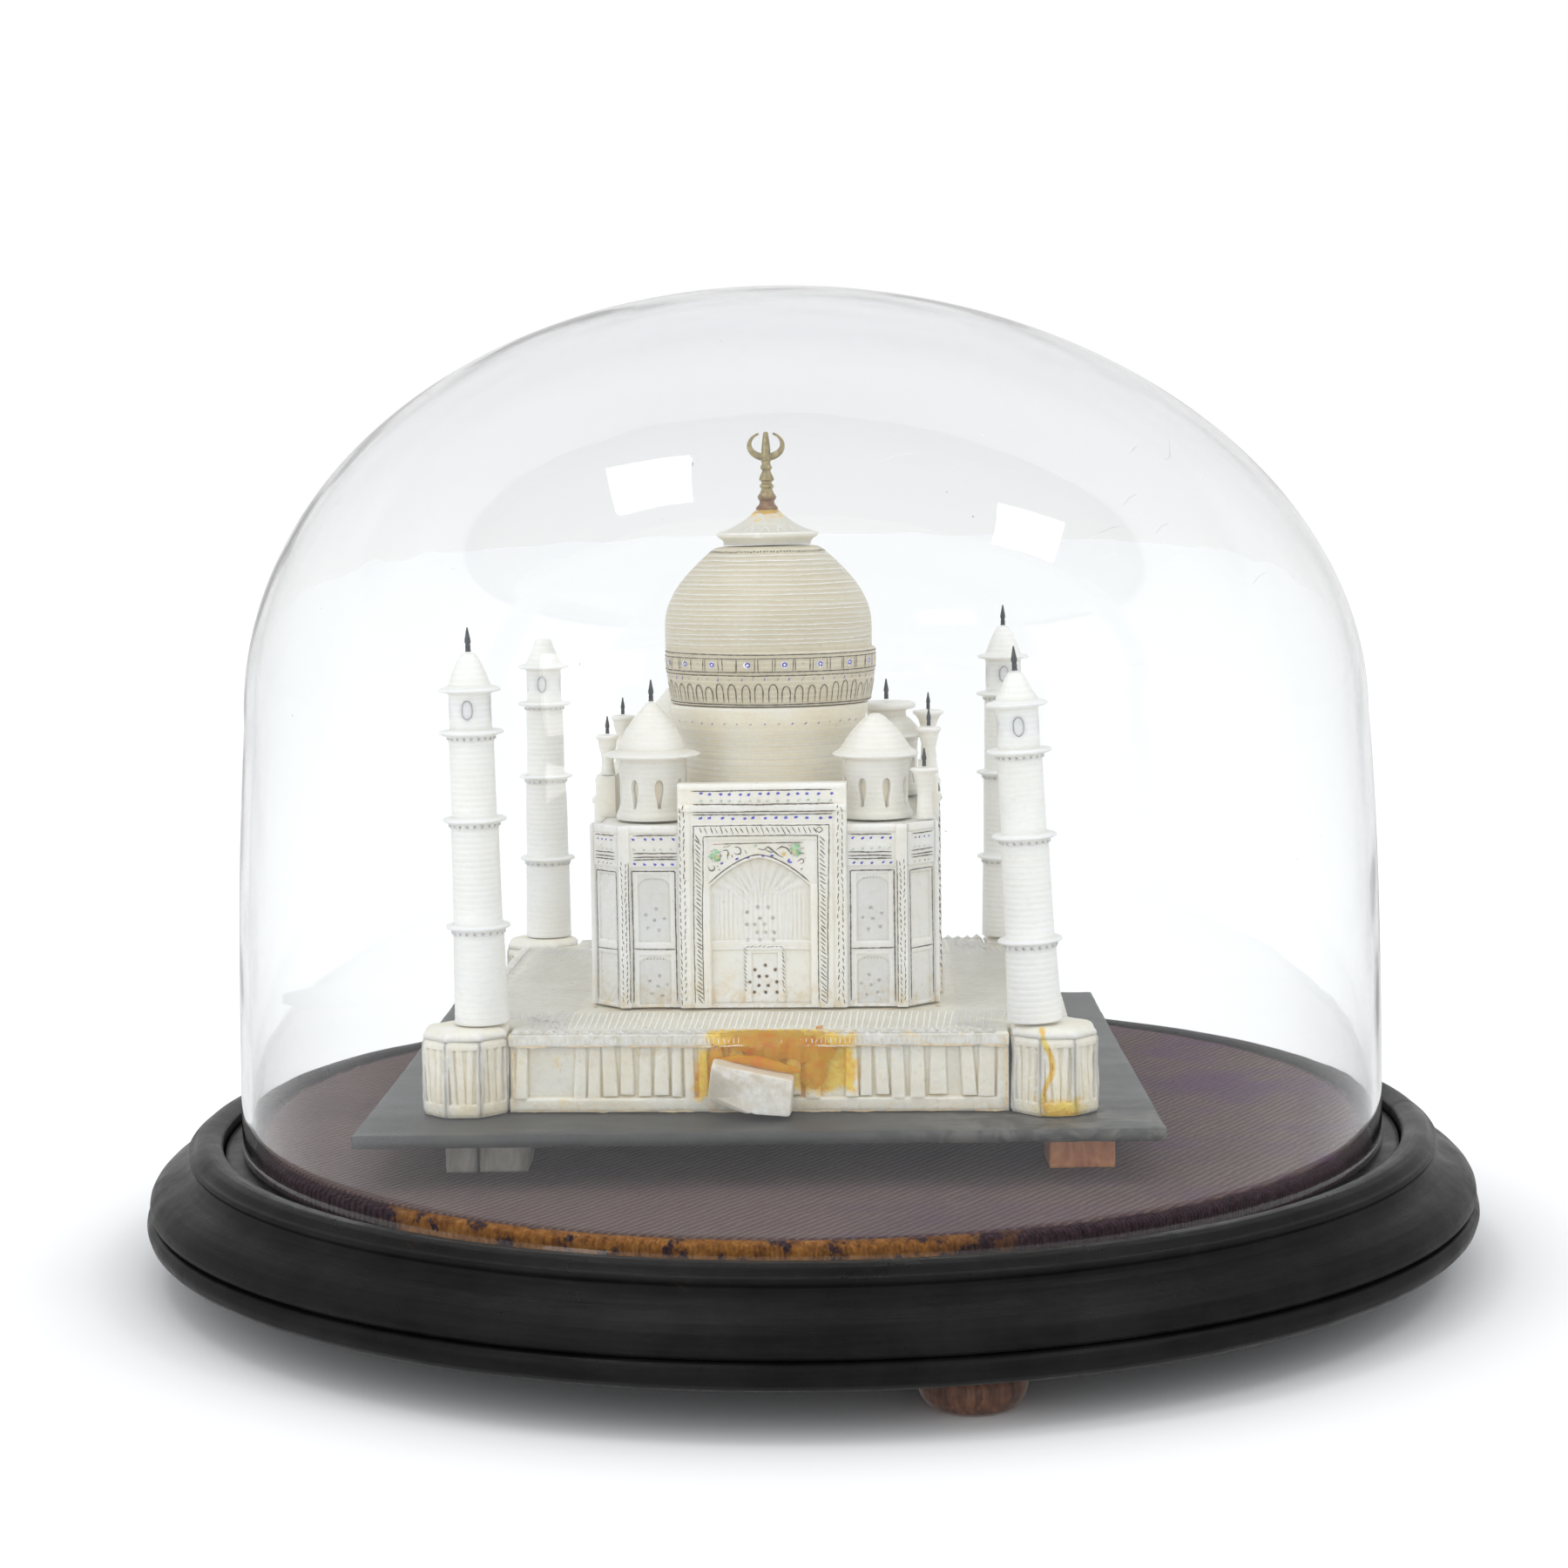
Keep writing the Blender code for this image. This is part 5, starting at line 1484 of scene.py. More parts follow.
def wing_ink(pen):
    dice = pen.dice
    for height in (59.7, 55.5, 54.6, 54.0):
        pen.stroke([(1.0, height), (6, height + dice.normal(0, 0.07)), (11.2, height - 0.05)], 0.27, BLACK, 0.1)
    for height, slot in ((58.8, BLUE), (56.35, PALE_GREEN), (52.9, BLUE)):
        for x in np.linspace(2.2, 10.8, 5):
            pen.dot(x + dice.normal(0, 0.2), height + dice.normal(0, 0.08), 0.26, slot, 1.5, 30)
    pen.stroke([(1.4, 20.2), (1.5, 51.1), (11.7, 51.2), (11.6, 36), (11.7, 20.0)], 0.27, BLACK, 0.1)
    pen.stroke([(1.4, 32.6), (6, 32.6), (11.6, 32.75)], 0.27, BLACK, 0.08)
    pen.stroke([(12.4, 20.0), (12.4, 53.5)], 0.22, BLACK, 0.08)
    for height in np.arange(20.2, 53.6, 1.35):
        pen.dash(13.15, height, 1.0, 98, 0.28)
        pen.dash(14.1, height + 0.65, 0.95, 84, 0.26)
    # painted shade: grey discs in the pierced holes stand for the shade inside them
    for x, height in ring_of_holes(6.6, 39.4, 2.35):
        pen.dot(x, height, 0.33, HOLE_SHADE_PALE)
    for x, height in ring_of_holes(6.0, 23.7, 2.2):
        pen.dot(x, height, 0.3, HOLE_SHADE_PALE)
    for height in (49.2, 30.2):
        for x in np.arange(4.6, 8.8, 0.75):
            pen.dot(x, height, 0.18, HOLE_SHADE_PALE)


def chamfer_depth(x, z):
    floor = low_of("mausoleum_body")
    upper = inside(x, -3.1, 3.1, 0.35) * inside(z, 34.4, 50.4, 0.35)
    lower = inside(x, -3.1, 3.1, 0.35) * inside(z, floor + 0.8, 31.4, 0.35)
    worn = 0.35 * np.exp(-(((4.6 - np.abs(x)) / 0.3) ** 2))
    return -0.45 * np.maximum(upper, lower) + cornice(z) + 0.06 * ripple(121, x, z, scale=3.0) - worn


def chamfer_ink(pen):
    dice = pen.dice
    for height in (59.6, 55.6, 54.7, 54.0):
        pen.stroke([(-3.5, height), (3.6, height + 0.05)], 0.25, BLACK, 0.08)
    for height, slot in ((58.6, BLUE), (56.4, PALE_GREEN), (53.0, GREY)):
        for x in (-2.4, -0.8, 0.8, 2.4):
            pen.dot(x + dice.normal(0, 0.12), height, 0.2, slot, 1.3, 30)
    pen.stroke([(-3.7, 20.2), (-3.7, 51.0), (3.7, 51.1), (3.7, 20.4)], 0.24, BLACK, 0.08)
    pen.stroke([(-3.7, 32.4), (3.7, 32.6)], 0.24, BLACK, 0.06)


def on_relief(depth, place):
    """A drawing surface just clear of a carved plate."""
    turn = np.array(place.to_3x3())
    shift = np.array(place.translation)

    def surface(u, v):
        points = np.stack([u, -depth(u, v) - 0.07, v], 1)
        return points @ turn.T + shift

    return surface


def mirrored(function):
    return lambda x, z: function(-x, z)


def make_building():
    base = low_of("mausoleum_body")
    step = 0.2 / FINE
    body = Solid()
    core = WALL_PLANE - 1.2
    cut = core - CORNER_CUT
    seat_depth = PORTAL_FACE - 5.0 - 0.4
    seat = PORTAL_HALF + 0.35
    side = [(-cut, -core), (-seat, -core), (-seat, -seat_depth), (seat, -seat_depth), (seat, -core), (cut, -core)]
    outline = []
    for turn in SIDES.values():
        rotate = Matrix.Rotation(math.radians(turn), 2)
        outline += [tuple(rotate @ Vector(corner)) for corner in side]
    count = len(outline)
    faces = grid_faces(2, count, wrap=True)
    faces.append([count + index for index in range(count)])
    faces.append(list(range(count))[::-1])
    body.add([(x, y, z) for z in (base, ROOF_TOP - 0.3) for x, y in outline], faces)
    reach = WALL_PLANE - CORNER_CUT - seat + 1.0
    chamfer_reach = CORNER_CUT / math.sqrt(2)
    chamfer_out = (2 * WALL_PLANE - CORNER_CUT) / math.sqrt(2)
    drawing = Solid()
    for turn in SIDES.values():
        right = turned_place(seat - 1.0, -WALL_PLANE, 0, turn)
        left = turned_place(-seat + 1.0, -WALL_PLANE, 0, turn)
        corner = turned_place(0, -chamfer_out, 0, turn + 45)
        faces_of_side = (
            (right, (0.45, reach), wing_depth, wing_ink),
            (left, (-reach, -0.45), mirrored(wing_depth), wing_ink),
            (corner, (-chamfer_reach, chamfer_reach), chamfer_depth, chamfer_ink),
        )
        for index, (place, x_range, depth, draw) in enumerate(faces_of_side):
            relief(body, x_range, (base, ROOF_TOP), step, depth, 1.6, place)
            surface = on_relief(depth, place)
            pen = Ink(mirrored(surface) if place is left else surface, 130 + turn + index)
            draw(pen)
            drawing.take(pen.solid)
    piece = body.build("mausoleum_body_carved", [front_stone], MODEL, sharp=50)
    place_piece(piece, "model", "alabaster", "mausoleum_body")
    place_piece(drawing.build("mausoleum_body_ink", INKS, MODEL), "model", "alabaster")

    plate = Solid()
    relief(plate, (-PORTAL_HALF, PORTAL_HALF), (base, PORTAL_TOP), step, portal_depth, 5.0)
    carved = None
    for name, turn in SIDES.items():
        place = MODEL @ Matrix.Rotation(math.radians(turn), 4, "Z") @ Matrix.Translation((0, -PORTAL_FACE * MM, 0))
        if carved is None:
            piece = plate.build("portal_" + name + "_carved", [front_stone], place, sharp=50)
            carved = piece.data
        else:
            piece = bpy.data.objects.new("portal_" + name + "_carved", carved)
            bpy.context.scene.collection.objects.link(piece)
            piece.matrix_world = place
        place_piece(piece, "model", "alabaster", "portal_" + name)
        pen = Ink(on_relief(portal_depth, Matrix.Identity(4)), 150 + turn)
        portal_ink(pen)
        place_piece(pen.solid.build("portal_" + name + "_ink", INKS, place), "model", "alabaster")


# ---------------------------------------------------------------- turned pieces

def scored(profile, step, soften, pitch, depth, low, high, seed):
    """A turned profile with the fine scores of the lathe cut into its outside between two heights."""
    fine = resample(profile, step, soften)
    phase = np.random.default_rng(seed).uniform(0, 1)
    wave = np.cos(2 * math.pi * (fine[:, 1] / pitch + phase))
    cut = depth * np.clip(wave, 0, 1) ** 2
    radius = fine[:, 0] - cut * inside(fine[:, 1], low, high, 0.4) * (fine[:, 0] > 0.5)
    return np.stack([np.clip(radius, 0.001, None), fine[:, 1]], 1)


def round_surface(fine, smallest, low, lift, reach, shift=None):
    """A drawing surface round the outside of a turned profile, with u measured along a circle from the front."""
    radii, heights = fine[::-1].T
    keep = (heights > low) & (radii > smallest)

    def surface(u, v):
        radius = np.interp(v, heights[keep], radii[keep]) + lift
        angle = u / reach - math.pi / 2
        x = radius * np.cos(angle)
        return np.stack([x + shift(v) if shift else x, radius * np.sin(angle), v], 1)

    return surface


def band_shift(z):
    """The dome's lower half was glued on a little to the right."""
    return 0.45 * (1 - smooth_step(z, 101.6, 0.3))


def make_dome():
    node_low = low_of("main_dome")
    node_high = high_of("main_dome")
    profile = [(0.001, node_high), (10.9, node_high), (12.2, node_high - 0.15), (13.2, 126.1), (15.0, 124.6)]
    profile += [(17.0, 122.8), (18.65, 121.1), (20.25, 119.4), (21.65, 117.7), (22.85, 116.0), (23.8, 114.3)]
    profile += [(24.6, 112.5), (25.15, 110.8), (25.45, 109.0), (25.55, 106.0), (25.5, 102.2), (25.5, 101.7)]
    profile += [(25.95, 101.4), (26.0, 99.0), (25.9, 96.6), (25.7, 96.1), (25.5, 93.6), (25.1, 91.0)]
    profile += [(24.6, node_low), (0.001, node_low)]
    fine = scored(profile, 0.28, 0.3, 1.16, 0.075, 102.4, 126.0, 5)
    piece = turned("main_dome_turned", dome_stone, fine, int(160 * FINE), 0.06, 161, MODEL, lean=band_shift)
    place_piece(piece, "model", "warm_alabaster", "main_dome")
    reach = 26.0
    pen = Ink(round_surface(fine, 12.5, node_low, 0.09, reach, band_shift), 162)
    dome_ink(pen, reach)
    place_piece(pen.solid.build("main_dome_ink", INKS, MODEL), "model", "warm_alabaster")


def dome_ink(pen, reach):
    """The band of petals, dashes and framed dots round the dome, and the pale scores above it."""
    dice = pen.dice
    around = 2 * math.pi * reach
    for height, width in ((101.0, 0.24), (100.1, 0.2), (96.9, 0.24), (96.0, 0.22), (88.95, 0.28)):
        pen.circle(height, reach, 90, width, BLACK, 0.15)
    cells = 18
    pitch = around / cells
    for cell in range(cells):
        start = around * cell / cells
        for share in (0.20, 0.27, 0.73, 0.80):
            x = start + share * pitch + dice.normal(0, 0.15)
            pen.stroke([(x, 97.1), (x + dice.normal(0, 0.1), 100.0)], 0.24, BLACK, 0.05)
        pen.dot(start + 0.5 * pitch, 98.6, 0.8, WHITE)
        pen.ring(start + 0.5 * pitch + dice.normal(0, 0.2), 98.6, 0.46, 0.38, BLUE)
        if cell % 3 == 1:
            pen.dot(start + 0.02 * pitch, 98.8, 0.22, GREY)
    for x in np.linspace(0, around, 54, endpoint=False):
        pen.dash(x + dice.normal(0, 0.2), 95.1, 0.8, 62, 0.32, BLUE if dice.uniform() < 0.65 else GREY)
    petals = 49
    foot = 89.5
    for petal in range(petals):
        x = around * (petal + 0.5) / petals + dice.normal(0, 0.15)
        rise = 4.3 + 0.3 * dice.normal()
        half = 0.98 + 0.08 * dice.normal()
        path = [(x - half, foot), (x - half * 1.02, foot + 0.55 * rise)]
        for turn in np.linspace(0.3, math.pi - 0.3, 9):
            path.append((x - half * math.cos(turn), foot + rise * (0.55 + 0.45 * math.sin(turn))))
        path += [(x + half * 1.02, foot + 0.55 * rise), (x + half * 0.97, foot)]
        pen.stroke(path, 0.27, BLACK, 0.04)
    for x in np.linspace(0, around, 110, endpoint=False):
        pen.dash(x, 125.35, 0.8, 2, 0.42 + 0.14 * dice.uniform())
    for height in np.arange(103.6, 124.6, 1.16):
        pen.circle(height, reach, 70, 0.13 + 0.1 * dice.uniform(), SCORED, 0.34)


def make_drum():
    low = low_of("drum")
    high = high_of("drum")
    profile = [(0.001, high), (24.5, high), (24.5, 87.2), (23.9, 85.0), (22.9, 82.4), (22.0, 80.4), (21.3, 78.2)]
    profile += [(21.0, 75.6), (20.85, 73.0), (20.8, low), (0.001, low)]
    fine = scored(profile, 0.35, 0.4, 1.5, 0.10, 63.0, 84.0, 7)
    piece = turned("drum_turned", drum_stone, fine, int(144 * FINE), 0.06, 163, MODEL)
    place_piece(piece, "model", "warm_alabaster", "drum")
    reach = 24.0
    pen = Ink(round_surface(fine, 15, low - 1, 0.08, reach), 164)
    for x in np.linspace(0, 2 * math.pi * reach, 44, endpoint=False):
        pen.dash(x, 84.2, 0.6, 45, 0.34, BLUE if pen.dice.uniform() < 0.5 else GREY)
    for height in np.arange(64.0, 83.0, 1.5):
        pen.circle(height, reach, 60, 0.16, WHITE, 0.3)
    place_piece(pen.solid.build("drum_dots", INKS, MODEL), "model", "warm_alabaster")


CAP_SLOPE = ((3.3, 0.4), (4.2, 1.1), (5.6, 2.2), (7.4, 3.4), (9.6, 4.5), (11.4, 5.1), (12.5, 5.3))


def make_cap():
    """The small stone cap on the dome, with pale petals scored round it."""
    low = low_of("dome_cap")
    high = high_of("dome_cap")
    profile = below(high, (0.001, 0), (2.6, 0), *CAP_SLOPE, (12.7, 5.6), (12.3, 6.3), (11.2, 7.0), (10.7, 7.6))
    profile += [(10.8, low), (0.001, low)]
    piece = turned("dome_cap_turned", cap_stone, resample(profile, 0.25, 0.2), 112, 0.08, 171, MODEL)
    place_piece(piece, "model", "warm_alabaster", "dome_cap")
    radii, drops = zip(*CAP_SLOPE)
    pen = Ink(lambda u, v: np.stack([v * np.cos(u), v * np.sin(u), high + 0.14 - np.interp(v, radii, drops)], 1), 172)
    for petal in range(16):
        turn = 2 * math.pi * petal / 16
        path = [(turn - 0.10, 11.3), (turn - 0.07, 9.6), (turn, 8.2), (turn + 0.07, 9.6), (turn + 0.10, 11.3)]
        side = [(a / 8, r) for a, r in resample([(a * 8, r) for a, r in path], 0.4)]
        pen.lay([[(a - 0.012, r), (a + 0.012, r)] for a, r in side], WHITE)
    place_piece(pen.solid.build("dome_cap_petals", INKS, MODEL), "model", "warm_alabaster")


def make_finial():
    """The brass baluster and its crescent, cast as one."""
    low = low_of("finial")
    profile = [(0.001, 19.0), (0.45, 19.0), (0.62, 18.6), (0.95, 16.2), (1.12, 14.6), (1.0, 13.2), (1.2, 12.7)]
    profile += [(1.45, 12.2), (1.1, 11.7), (1.05, 11.0), (1.45, 10.4), (1.45, 10.0), (1.0, 9.5), (1.2, 8.9)]
    profile += [(1.55, 8.2), (1.9, 7.2), (1.25, 6.8), (1.3, 6.3), (1.72, 5.9), (1.7, 5.5), (1.3, 5.1), (1.75, 4.0)]
    profile += [(2.35, 3.2), (2.2, 2.7), (1.75, 2.1), (1.9, 1.4), (2.7, 0.5), (2.7, 0.0), (0.001, 0.0)]
    solid = Solid()
    lathe(solid, resample([(radius, height + low) for radius, height in profile], 0.14, 0.12), 48, 0.04, 181)
    middle = low + 15.6
    rings = []
    for share in np.linspace(0, 1, 60):
        angle = math.radians(66 - 312 * share)
        thick = 0.24 + 0.62 * math.sin(math.pi * share) ** 1.6
        reach = 4.25 - 0.55 * math.sin(math.pi * share) ** 2
        hub = np.array([reach * math.cos(angle), 0, middle + 0.76 * reach * math.sin(angle)])
        outward = np.array([math.cos(angle), 0, math.sin(angle)])
        ring = []
        for step in range(14):
            turn = 2 * math.pi * step / 14
            aside = np.array([0, 1, 0]) * thick * math.sin(turn)
            ring.append(hub + outward * thick * 1.15 * math.cos(turn) + aside)
        rings.append(ring)
    tube(solid, rings)
    place_piece(solid.build("finial_cast", [brass(low)], MODEL, sharp=50), "model", "brass", "finial")


def drill(piece, outline, reach, turns, place):
    """Cuts bars through a turned piece's axis, each with this (x, z) outline and turned about Z."""
    for turn in turns:
        bar = Solid()
        angle = math.radians(turn)
        cos, sin = math.cos(angle), math.sin(angle)
        rings = [[(x * cos - y * sin, x * sin + y * cos, z) for x, z in outline] for y in (-reach, reach)]
        tube(bar, rings, flip=True)
        cut = piece.modifiers.new("Drill", "BOOLEAN")
        cut.operation = "DIFFERENCE"
        cut.solver = "EXACT"
        cut.object = bar.build("cutter", [], place)
        bpy.context.view_layer.update()
        result = bpy.data.meshes.new_from_object(piece.evaluated_get(bpy.context.evaluated_depsgraph_get()))
        bpy.data.objects.remove(cut.object)
        piece.modifiers.clear()
        piece.data = result
    piece.data.shade_smooth()
    piece.data.set_sharp_from_angle(angle=math.radians(45))


KEYHOLE_SIDE = ((0.4, 3.2), (0.6, 5.0), (1.05, 6.8), (1.15, 8.4), (0.75, 9.7))
TURRET_BODY = (
    (8.0, 14.2), (7.85, 10.0), (7.7, 4.4), (8.1, 2.6), (8.8, 1.4), (8.8, 0.3), (5.9, 0.3), (5.9, 12.8), (0.001, 12.8)
)  # fmt: skip


def make_turrets():
    """Corner turrets: a flared foot, a pierced round body, a wide eave and a scored roof."""
    straight = [(0.001, 28.0), (1.2, 28.0), (1.5, 27.5), (4.1, 24.6), (6.2, 21.6), (7.6, 18.6), (8.1, 17.0)]
    straight += [(9.6, 16.5), (11.3, 16.0), (11.6, 15.7), (10.9, 15.3), (8.4, 15.0)]
    squat = [(0.001, 25.0), (1.2, 24.9), (2.4, 24.1), (4.3, 22.3), (6.0, 20.4), (7.3, 18.5), (8.3, 17.0)]
    squat += [(9.4, 16.2), (10.3, 15.7), (10.35, 15.3), (9.6, 14.9), (8.3, 14.7)]
    patched = [(0.001, 24.3), (6.9, 24.0), (7.5, 23.6), (7.6, 22.9), (7.2, 22.4), (5.3, 22.0), (5.0, 21.4)]
    patched += [(5.1, 20.4), (6.6, 19.2), (8.0, 17.6), (9.6, 16.6), (11.3, 16.0), (11.4, 15.6), (10.7, 15.2)]
    patched += [(8.4, 15.0)]
    keyhole = [*KEYHOLE_SIDE, (0, 10.2), *((-x, z) for x, z in reversed(KEYHOLE_SIDE))]
    core = resample([(0.001, 12.6), (5.8, 12.6), (6.0, 12.0), (6.0, 1.0), (5.8, 0.5), (0.001, 0.5)], 0.6, 0.2)
    roofs = {"front_left": straight, "front_right": squat, "rear_right": patched, "rear_left": straight}
    for index, (corner, roof) in enumerate(roofs.items()):
        node = "turret_" + corner
        middle = in_model(node)
        place = at(middle.x, middle.y, ROOF_TOP)
        fine = scored([*roof, *TURRET_BODY], 0.3, 0.2, 1.3, 0.07, 17.0, 27.5, 200 + index)
        piece = turned(node + "_turned", turret_stone, fine, 88, 0.07, 210 + index, place)
        turn = 21 if corner == "front_right" else 17
        drill(piece, keyhole, 11, [turn + 45 * step for step in range(4)], place)
        place_piece(piece, "model", "alabaster", node)
        piece = turned(node + "_core", turret_core, core, 48, 0.1, 215, place, sharp=40)
        place_piece(piece, "model", "alabaster")


# for each minaret: x, y and lean, the heights of its balconies, its eave and its top
MINARET_SHAPES = {
    "front_left": (-63.2, -65.1, -0.8, (22.7, 47.1, 66.9), 76.0, 84.3),
    "front_right": (62.5, -66.8, -3.0, (18.8, 42.4, 61.6), 71.5, 78.7),
    "rear_right": (59.7, 65.4, 0.0, (21.7, 44.4, 65.7), 75.2, 83.4),
    "rear_left": (-65.1, 68.3, 0.0, (21.9, 44.2, 64.0), 73.6, 81.2),
}


def minaret_profile(balconies, eave, high, tip):
    """Shaft, three balconies each over a beaded collar, the kiosk and its bell-shaped roof."""
    profile = [(0.001, high), (tip, high), (tip + 0.3, high - 0.3), (2.7, high - 2.0), (3.7, high - 4.2)]
    profile += [(4.35, eave + 2.2), (4.8, eave + 1.1), (6.4, eave + 0.6), (7.0, eave + 0.3), (7.1, eave)]
    profile += [(6.6, eave - 0.35), (5.2, eave - 0.6), (4.75, eave - 1.0)]
    shaft = ((4.8, 5.05), (5.15, 5.45), (5.55, 5.75))
    above = 4.75
    for level, (_, below) in zip(reversed(balconies), shaft):
        profile += [(above, level + 0.5), (above + 0.25, level + 0.15), (6.9, level + 0.05), (7.35, level - 0.2)]
        profile += [(7.3, level - 0.7), (6.5, level - 1.0), (below + 0.35, level - 1.3), (below + 0.3, level - 1.9)]
        profile += [(below, level - 2.3)]
        above = below + 0.1
    return profile + [(6.15, 0.0), (0.001, 0.0)]


def make_minarets():
    for index, (corner, (x, y, lean, balconies, eave, high)) in enumerate(MINARET_SHAPES.items()):
        node = "minaret_" + corner
        tipless = corner == "rear_left"
        gap = 0.3 + 6.3 * math.sin(math.radians(abs(lean)))
        place = at(x, y, high_of("bastion_" + corner) + gap, 0, lean)
        profile = minaret_profile(balconies, eave, high, 1.9 if tipless else 1.4)
        solid = Solid()
        fine = scored(profile, 0.26, 0.16, 1.38, 0.09, 0.8, balconies[-1] - 2.6, 220 + index)
        lathe(solid, fine, 72, 0.05, 230 + index)
        ball, ball_faces = bead_ball(0.34)
        for level, radius in zip(balconies, (5.9, 5.6, 5.25)):
            for step in range(20):
                angle = 2 * math.pi * (step + 0.5 * (level > 40)) / 20
                solid.add(ball + [radius * math.cos(angle), radius * math.sin(angle), level - 1.75], ball_faces)
        piece = solid.build(node + "_turned", [minaret_stone], place, sharp=50)
        window = []
        for step in range(14):
            turn = 2 * math.pi * step / 14
            window.append((1.2 * math.cos(turn), 2.15 * math.sin(turn) + (balconies[-1] + eave) / 2 + 0.2))
        drill(piece, window[::-1], 9, (0, 90), place)
        place_piece(piece, "model", "alabaster", node)
        if not tipless:
            make_pin("minaret_pin_" + corner, place @ Matrix.Translation((0, 0, (high + 0.3) * MM)), 5.5, 0.72)


def bead_ball(radius):
    """Points and faces of a small bead."""
    rings = 5
    around = 8
    points = [(0, 0, radius)]
    for ring in range(1, rings):
        out, up = radius * math.sin(math.pi * ring / rings), radius * math.cos(math.pi * ring / rings)
        for step in range(around):
            turn = 2 * math.pi * step / around
            points.append((out * math.cos(turn), out * math.sin(turn), up))
    points.append((0, 0, -radius))
    last = len(points) - 1
    start = last - around
    faces = [[0, 1 + step, 1 + (step + 1) % around] for step in range(around)]
    faces += [[corner + 1 for corner in face[:1] + face[3:] + face[2:3] + face[1:2]] for face in grid_faces(4, around, True)]
    faces += [[start + step, last, start + (step + 1) % around] for step in range(around)]
    return np.array(points), faces


def make_pin(node, place, length, radius):
    """A short forged pin: a waist, a swelling and a blunt point, a little uneven."""
    profile = [(0.001, length), (0.16, length - 0.05)]
    shares = ((0.5, 0.78), (0.92, 0.5), (1, 0.40), (0.68, 0.30), (0.85, 0.24), (0.8, 0.08), (1, 0.0))
    profile += [(radius * across, length * up) for across, up in shares]
    profile.append((0.001, 0.0))
    piece = turned(node + "_forged", pin_iron, resample(profile, 0.15, 0.1), 20, 0.05, len(node), place, sharp=60)
    place_piece(piece, "model", "iron_pin", node)


def upright_pin(node, radius):
    middle = in_model(node)
    make_pin(node, at(middle.x, middle.y, low_of(node)), top(node) - bottom(node), radius)


def make_pinnacles():
    """Small vase-shaped pinnacles round the roof, and the pins that stand in them and in two turrets."""
    # cap and stem radius of each
    shapes = {
        "right_front": (3.1, 1.9),
        "right_rear": (3.9, 2.0),
        "left_front": (2.8, 1.8),
        "left_rear": (3.0, 1.9),
        "right_corner": (3.4, 2.0),
    }
    for index, (name, (cap, stem)) in enumerate(shapes.items()):
        node = "pinnacle_" + name
        middle = in_model(node)
        high = top(node) - bottom(node)
        profile = below(high, (0.001, 0), (cap - 0.2, 0), (cap, 0.3), (cap - 0.1, 0.9), (cap * 0.8, 1.3))
        profile += below(high, (stem + 0.35, 2.6), (stem - 0.2, 4.8), (stem - 0.35, 6.4))
        profile += [(stem, 0.4), (stem + 0.1, 0.0), (0.001, 0.0)]
        place = at(middle.x, middle.y, low_of(node))
        fine = resample(profile, 0.25, 0.18)
        piece = turned(node + "_turned", turret_stone, fine, 40, 0.14, 240 + index, place)
        place_piece(piece, "model", "alabaster", node)
        upright_pin("pinnacle_pin_" + name, 0.55)
    for corner in ("front_left", "rear_right"):
        upright_pin("turret_pin_" + corner, 0.66)


# ---------------------------------------------------------------- resin and stains

def resin_film(name, x_range, z_range, place, material, seed, shape):
    """A lens of resin on a surface that faces -Y, as thick as shape(x, z) says, and nothing where that is below 0."""
    columns, rows = (int((high - low) / 0.25) + 1 for low, high in (x_range, z_range))
    x, z = np.meshgrid(np.linspace(*x_range, columns), np.linspace(*z_range, rows))
    thick = shape(x, z) + 0.22 * ripple(seed, x, z, scale=2.0)
    wet = (thick > 0).ravel()
    lumps = 0.16 * ripple(seed + 1, x, z, scale=0.7) * np.clip(thick, 0, 0.6)
    front = np.stack([x, -np.clip(thick, 0, None) - lumps, z], -1).reshape(-1, 3)
    behind = np.stack([x, 0 * x + 0.9, z], -1).reshape(-1, 3)
    total = rows * columns
    faces = []
    rims = {}
    for corners in grid_faces(rows, columns):
        if not wet[corners].all():
            continue
        faces += [corners, [corner + total for corner in corners[::-1]]]
        for start, end in zip(corners, corners[1:] + corners[:1]):
            if (end, start) in rims:
                del rims[end, start]
            else:
                rims[start, end] = True
    faces += [[end, start, start + total, end + total] for start, end in rims]
    solid = Solid()
    solid.add(np.concatenate([front, behind]), faces)
    piece = solid.build(name, [material], place, sharp=75)
    bpy.context.view_layer.update()
    drop_loose(piece.data)
    place_piece(piece, "model", "warm_alabaster")


def drop_loose(data):
    """Removes the points that no face uses."""
    build = bmesh.new()
    build.from_mesh(data)
    bmesh.ops.delete(build, geom=[point for point in build.verts if not point.link_faces], context="VERTS")
    build.to_mesh(data)
    build.free()


def bead(name, path, radii, seed):
    """A lumpy bead of amber along a path in the model's frame."""
    path = np.asarray(path, float)
    along = np.linspace(0, len(path) - 1, 44)
    spine = np.stack([np.interp(along, range(len(path)), values) for values in path.T], 1)
    size = np.interp(along, range(len(radii)), radii)
    turn = round_angles(20)
    rings = []
    for (x, y, z), reach, share in zip(spine, size, along):
        wobble = 1 + 0.22 * ripple(seed, np.cos(turn) * 2, np.sin(turn) * 2, turn * 0 + share * 4, scale=2.0)
        around = reach * wobble
        rings.append(np.stack([x + 0 * turn, y + around * np.cos(turn), z + around * np.sin(turn)], 1))
    solid = Solid()
    tube(solid, rings, flip=True)
    place_piece(solid.build(name, [amber], MODEL, sharp=70), "model", "warm_alabaster")


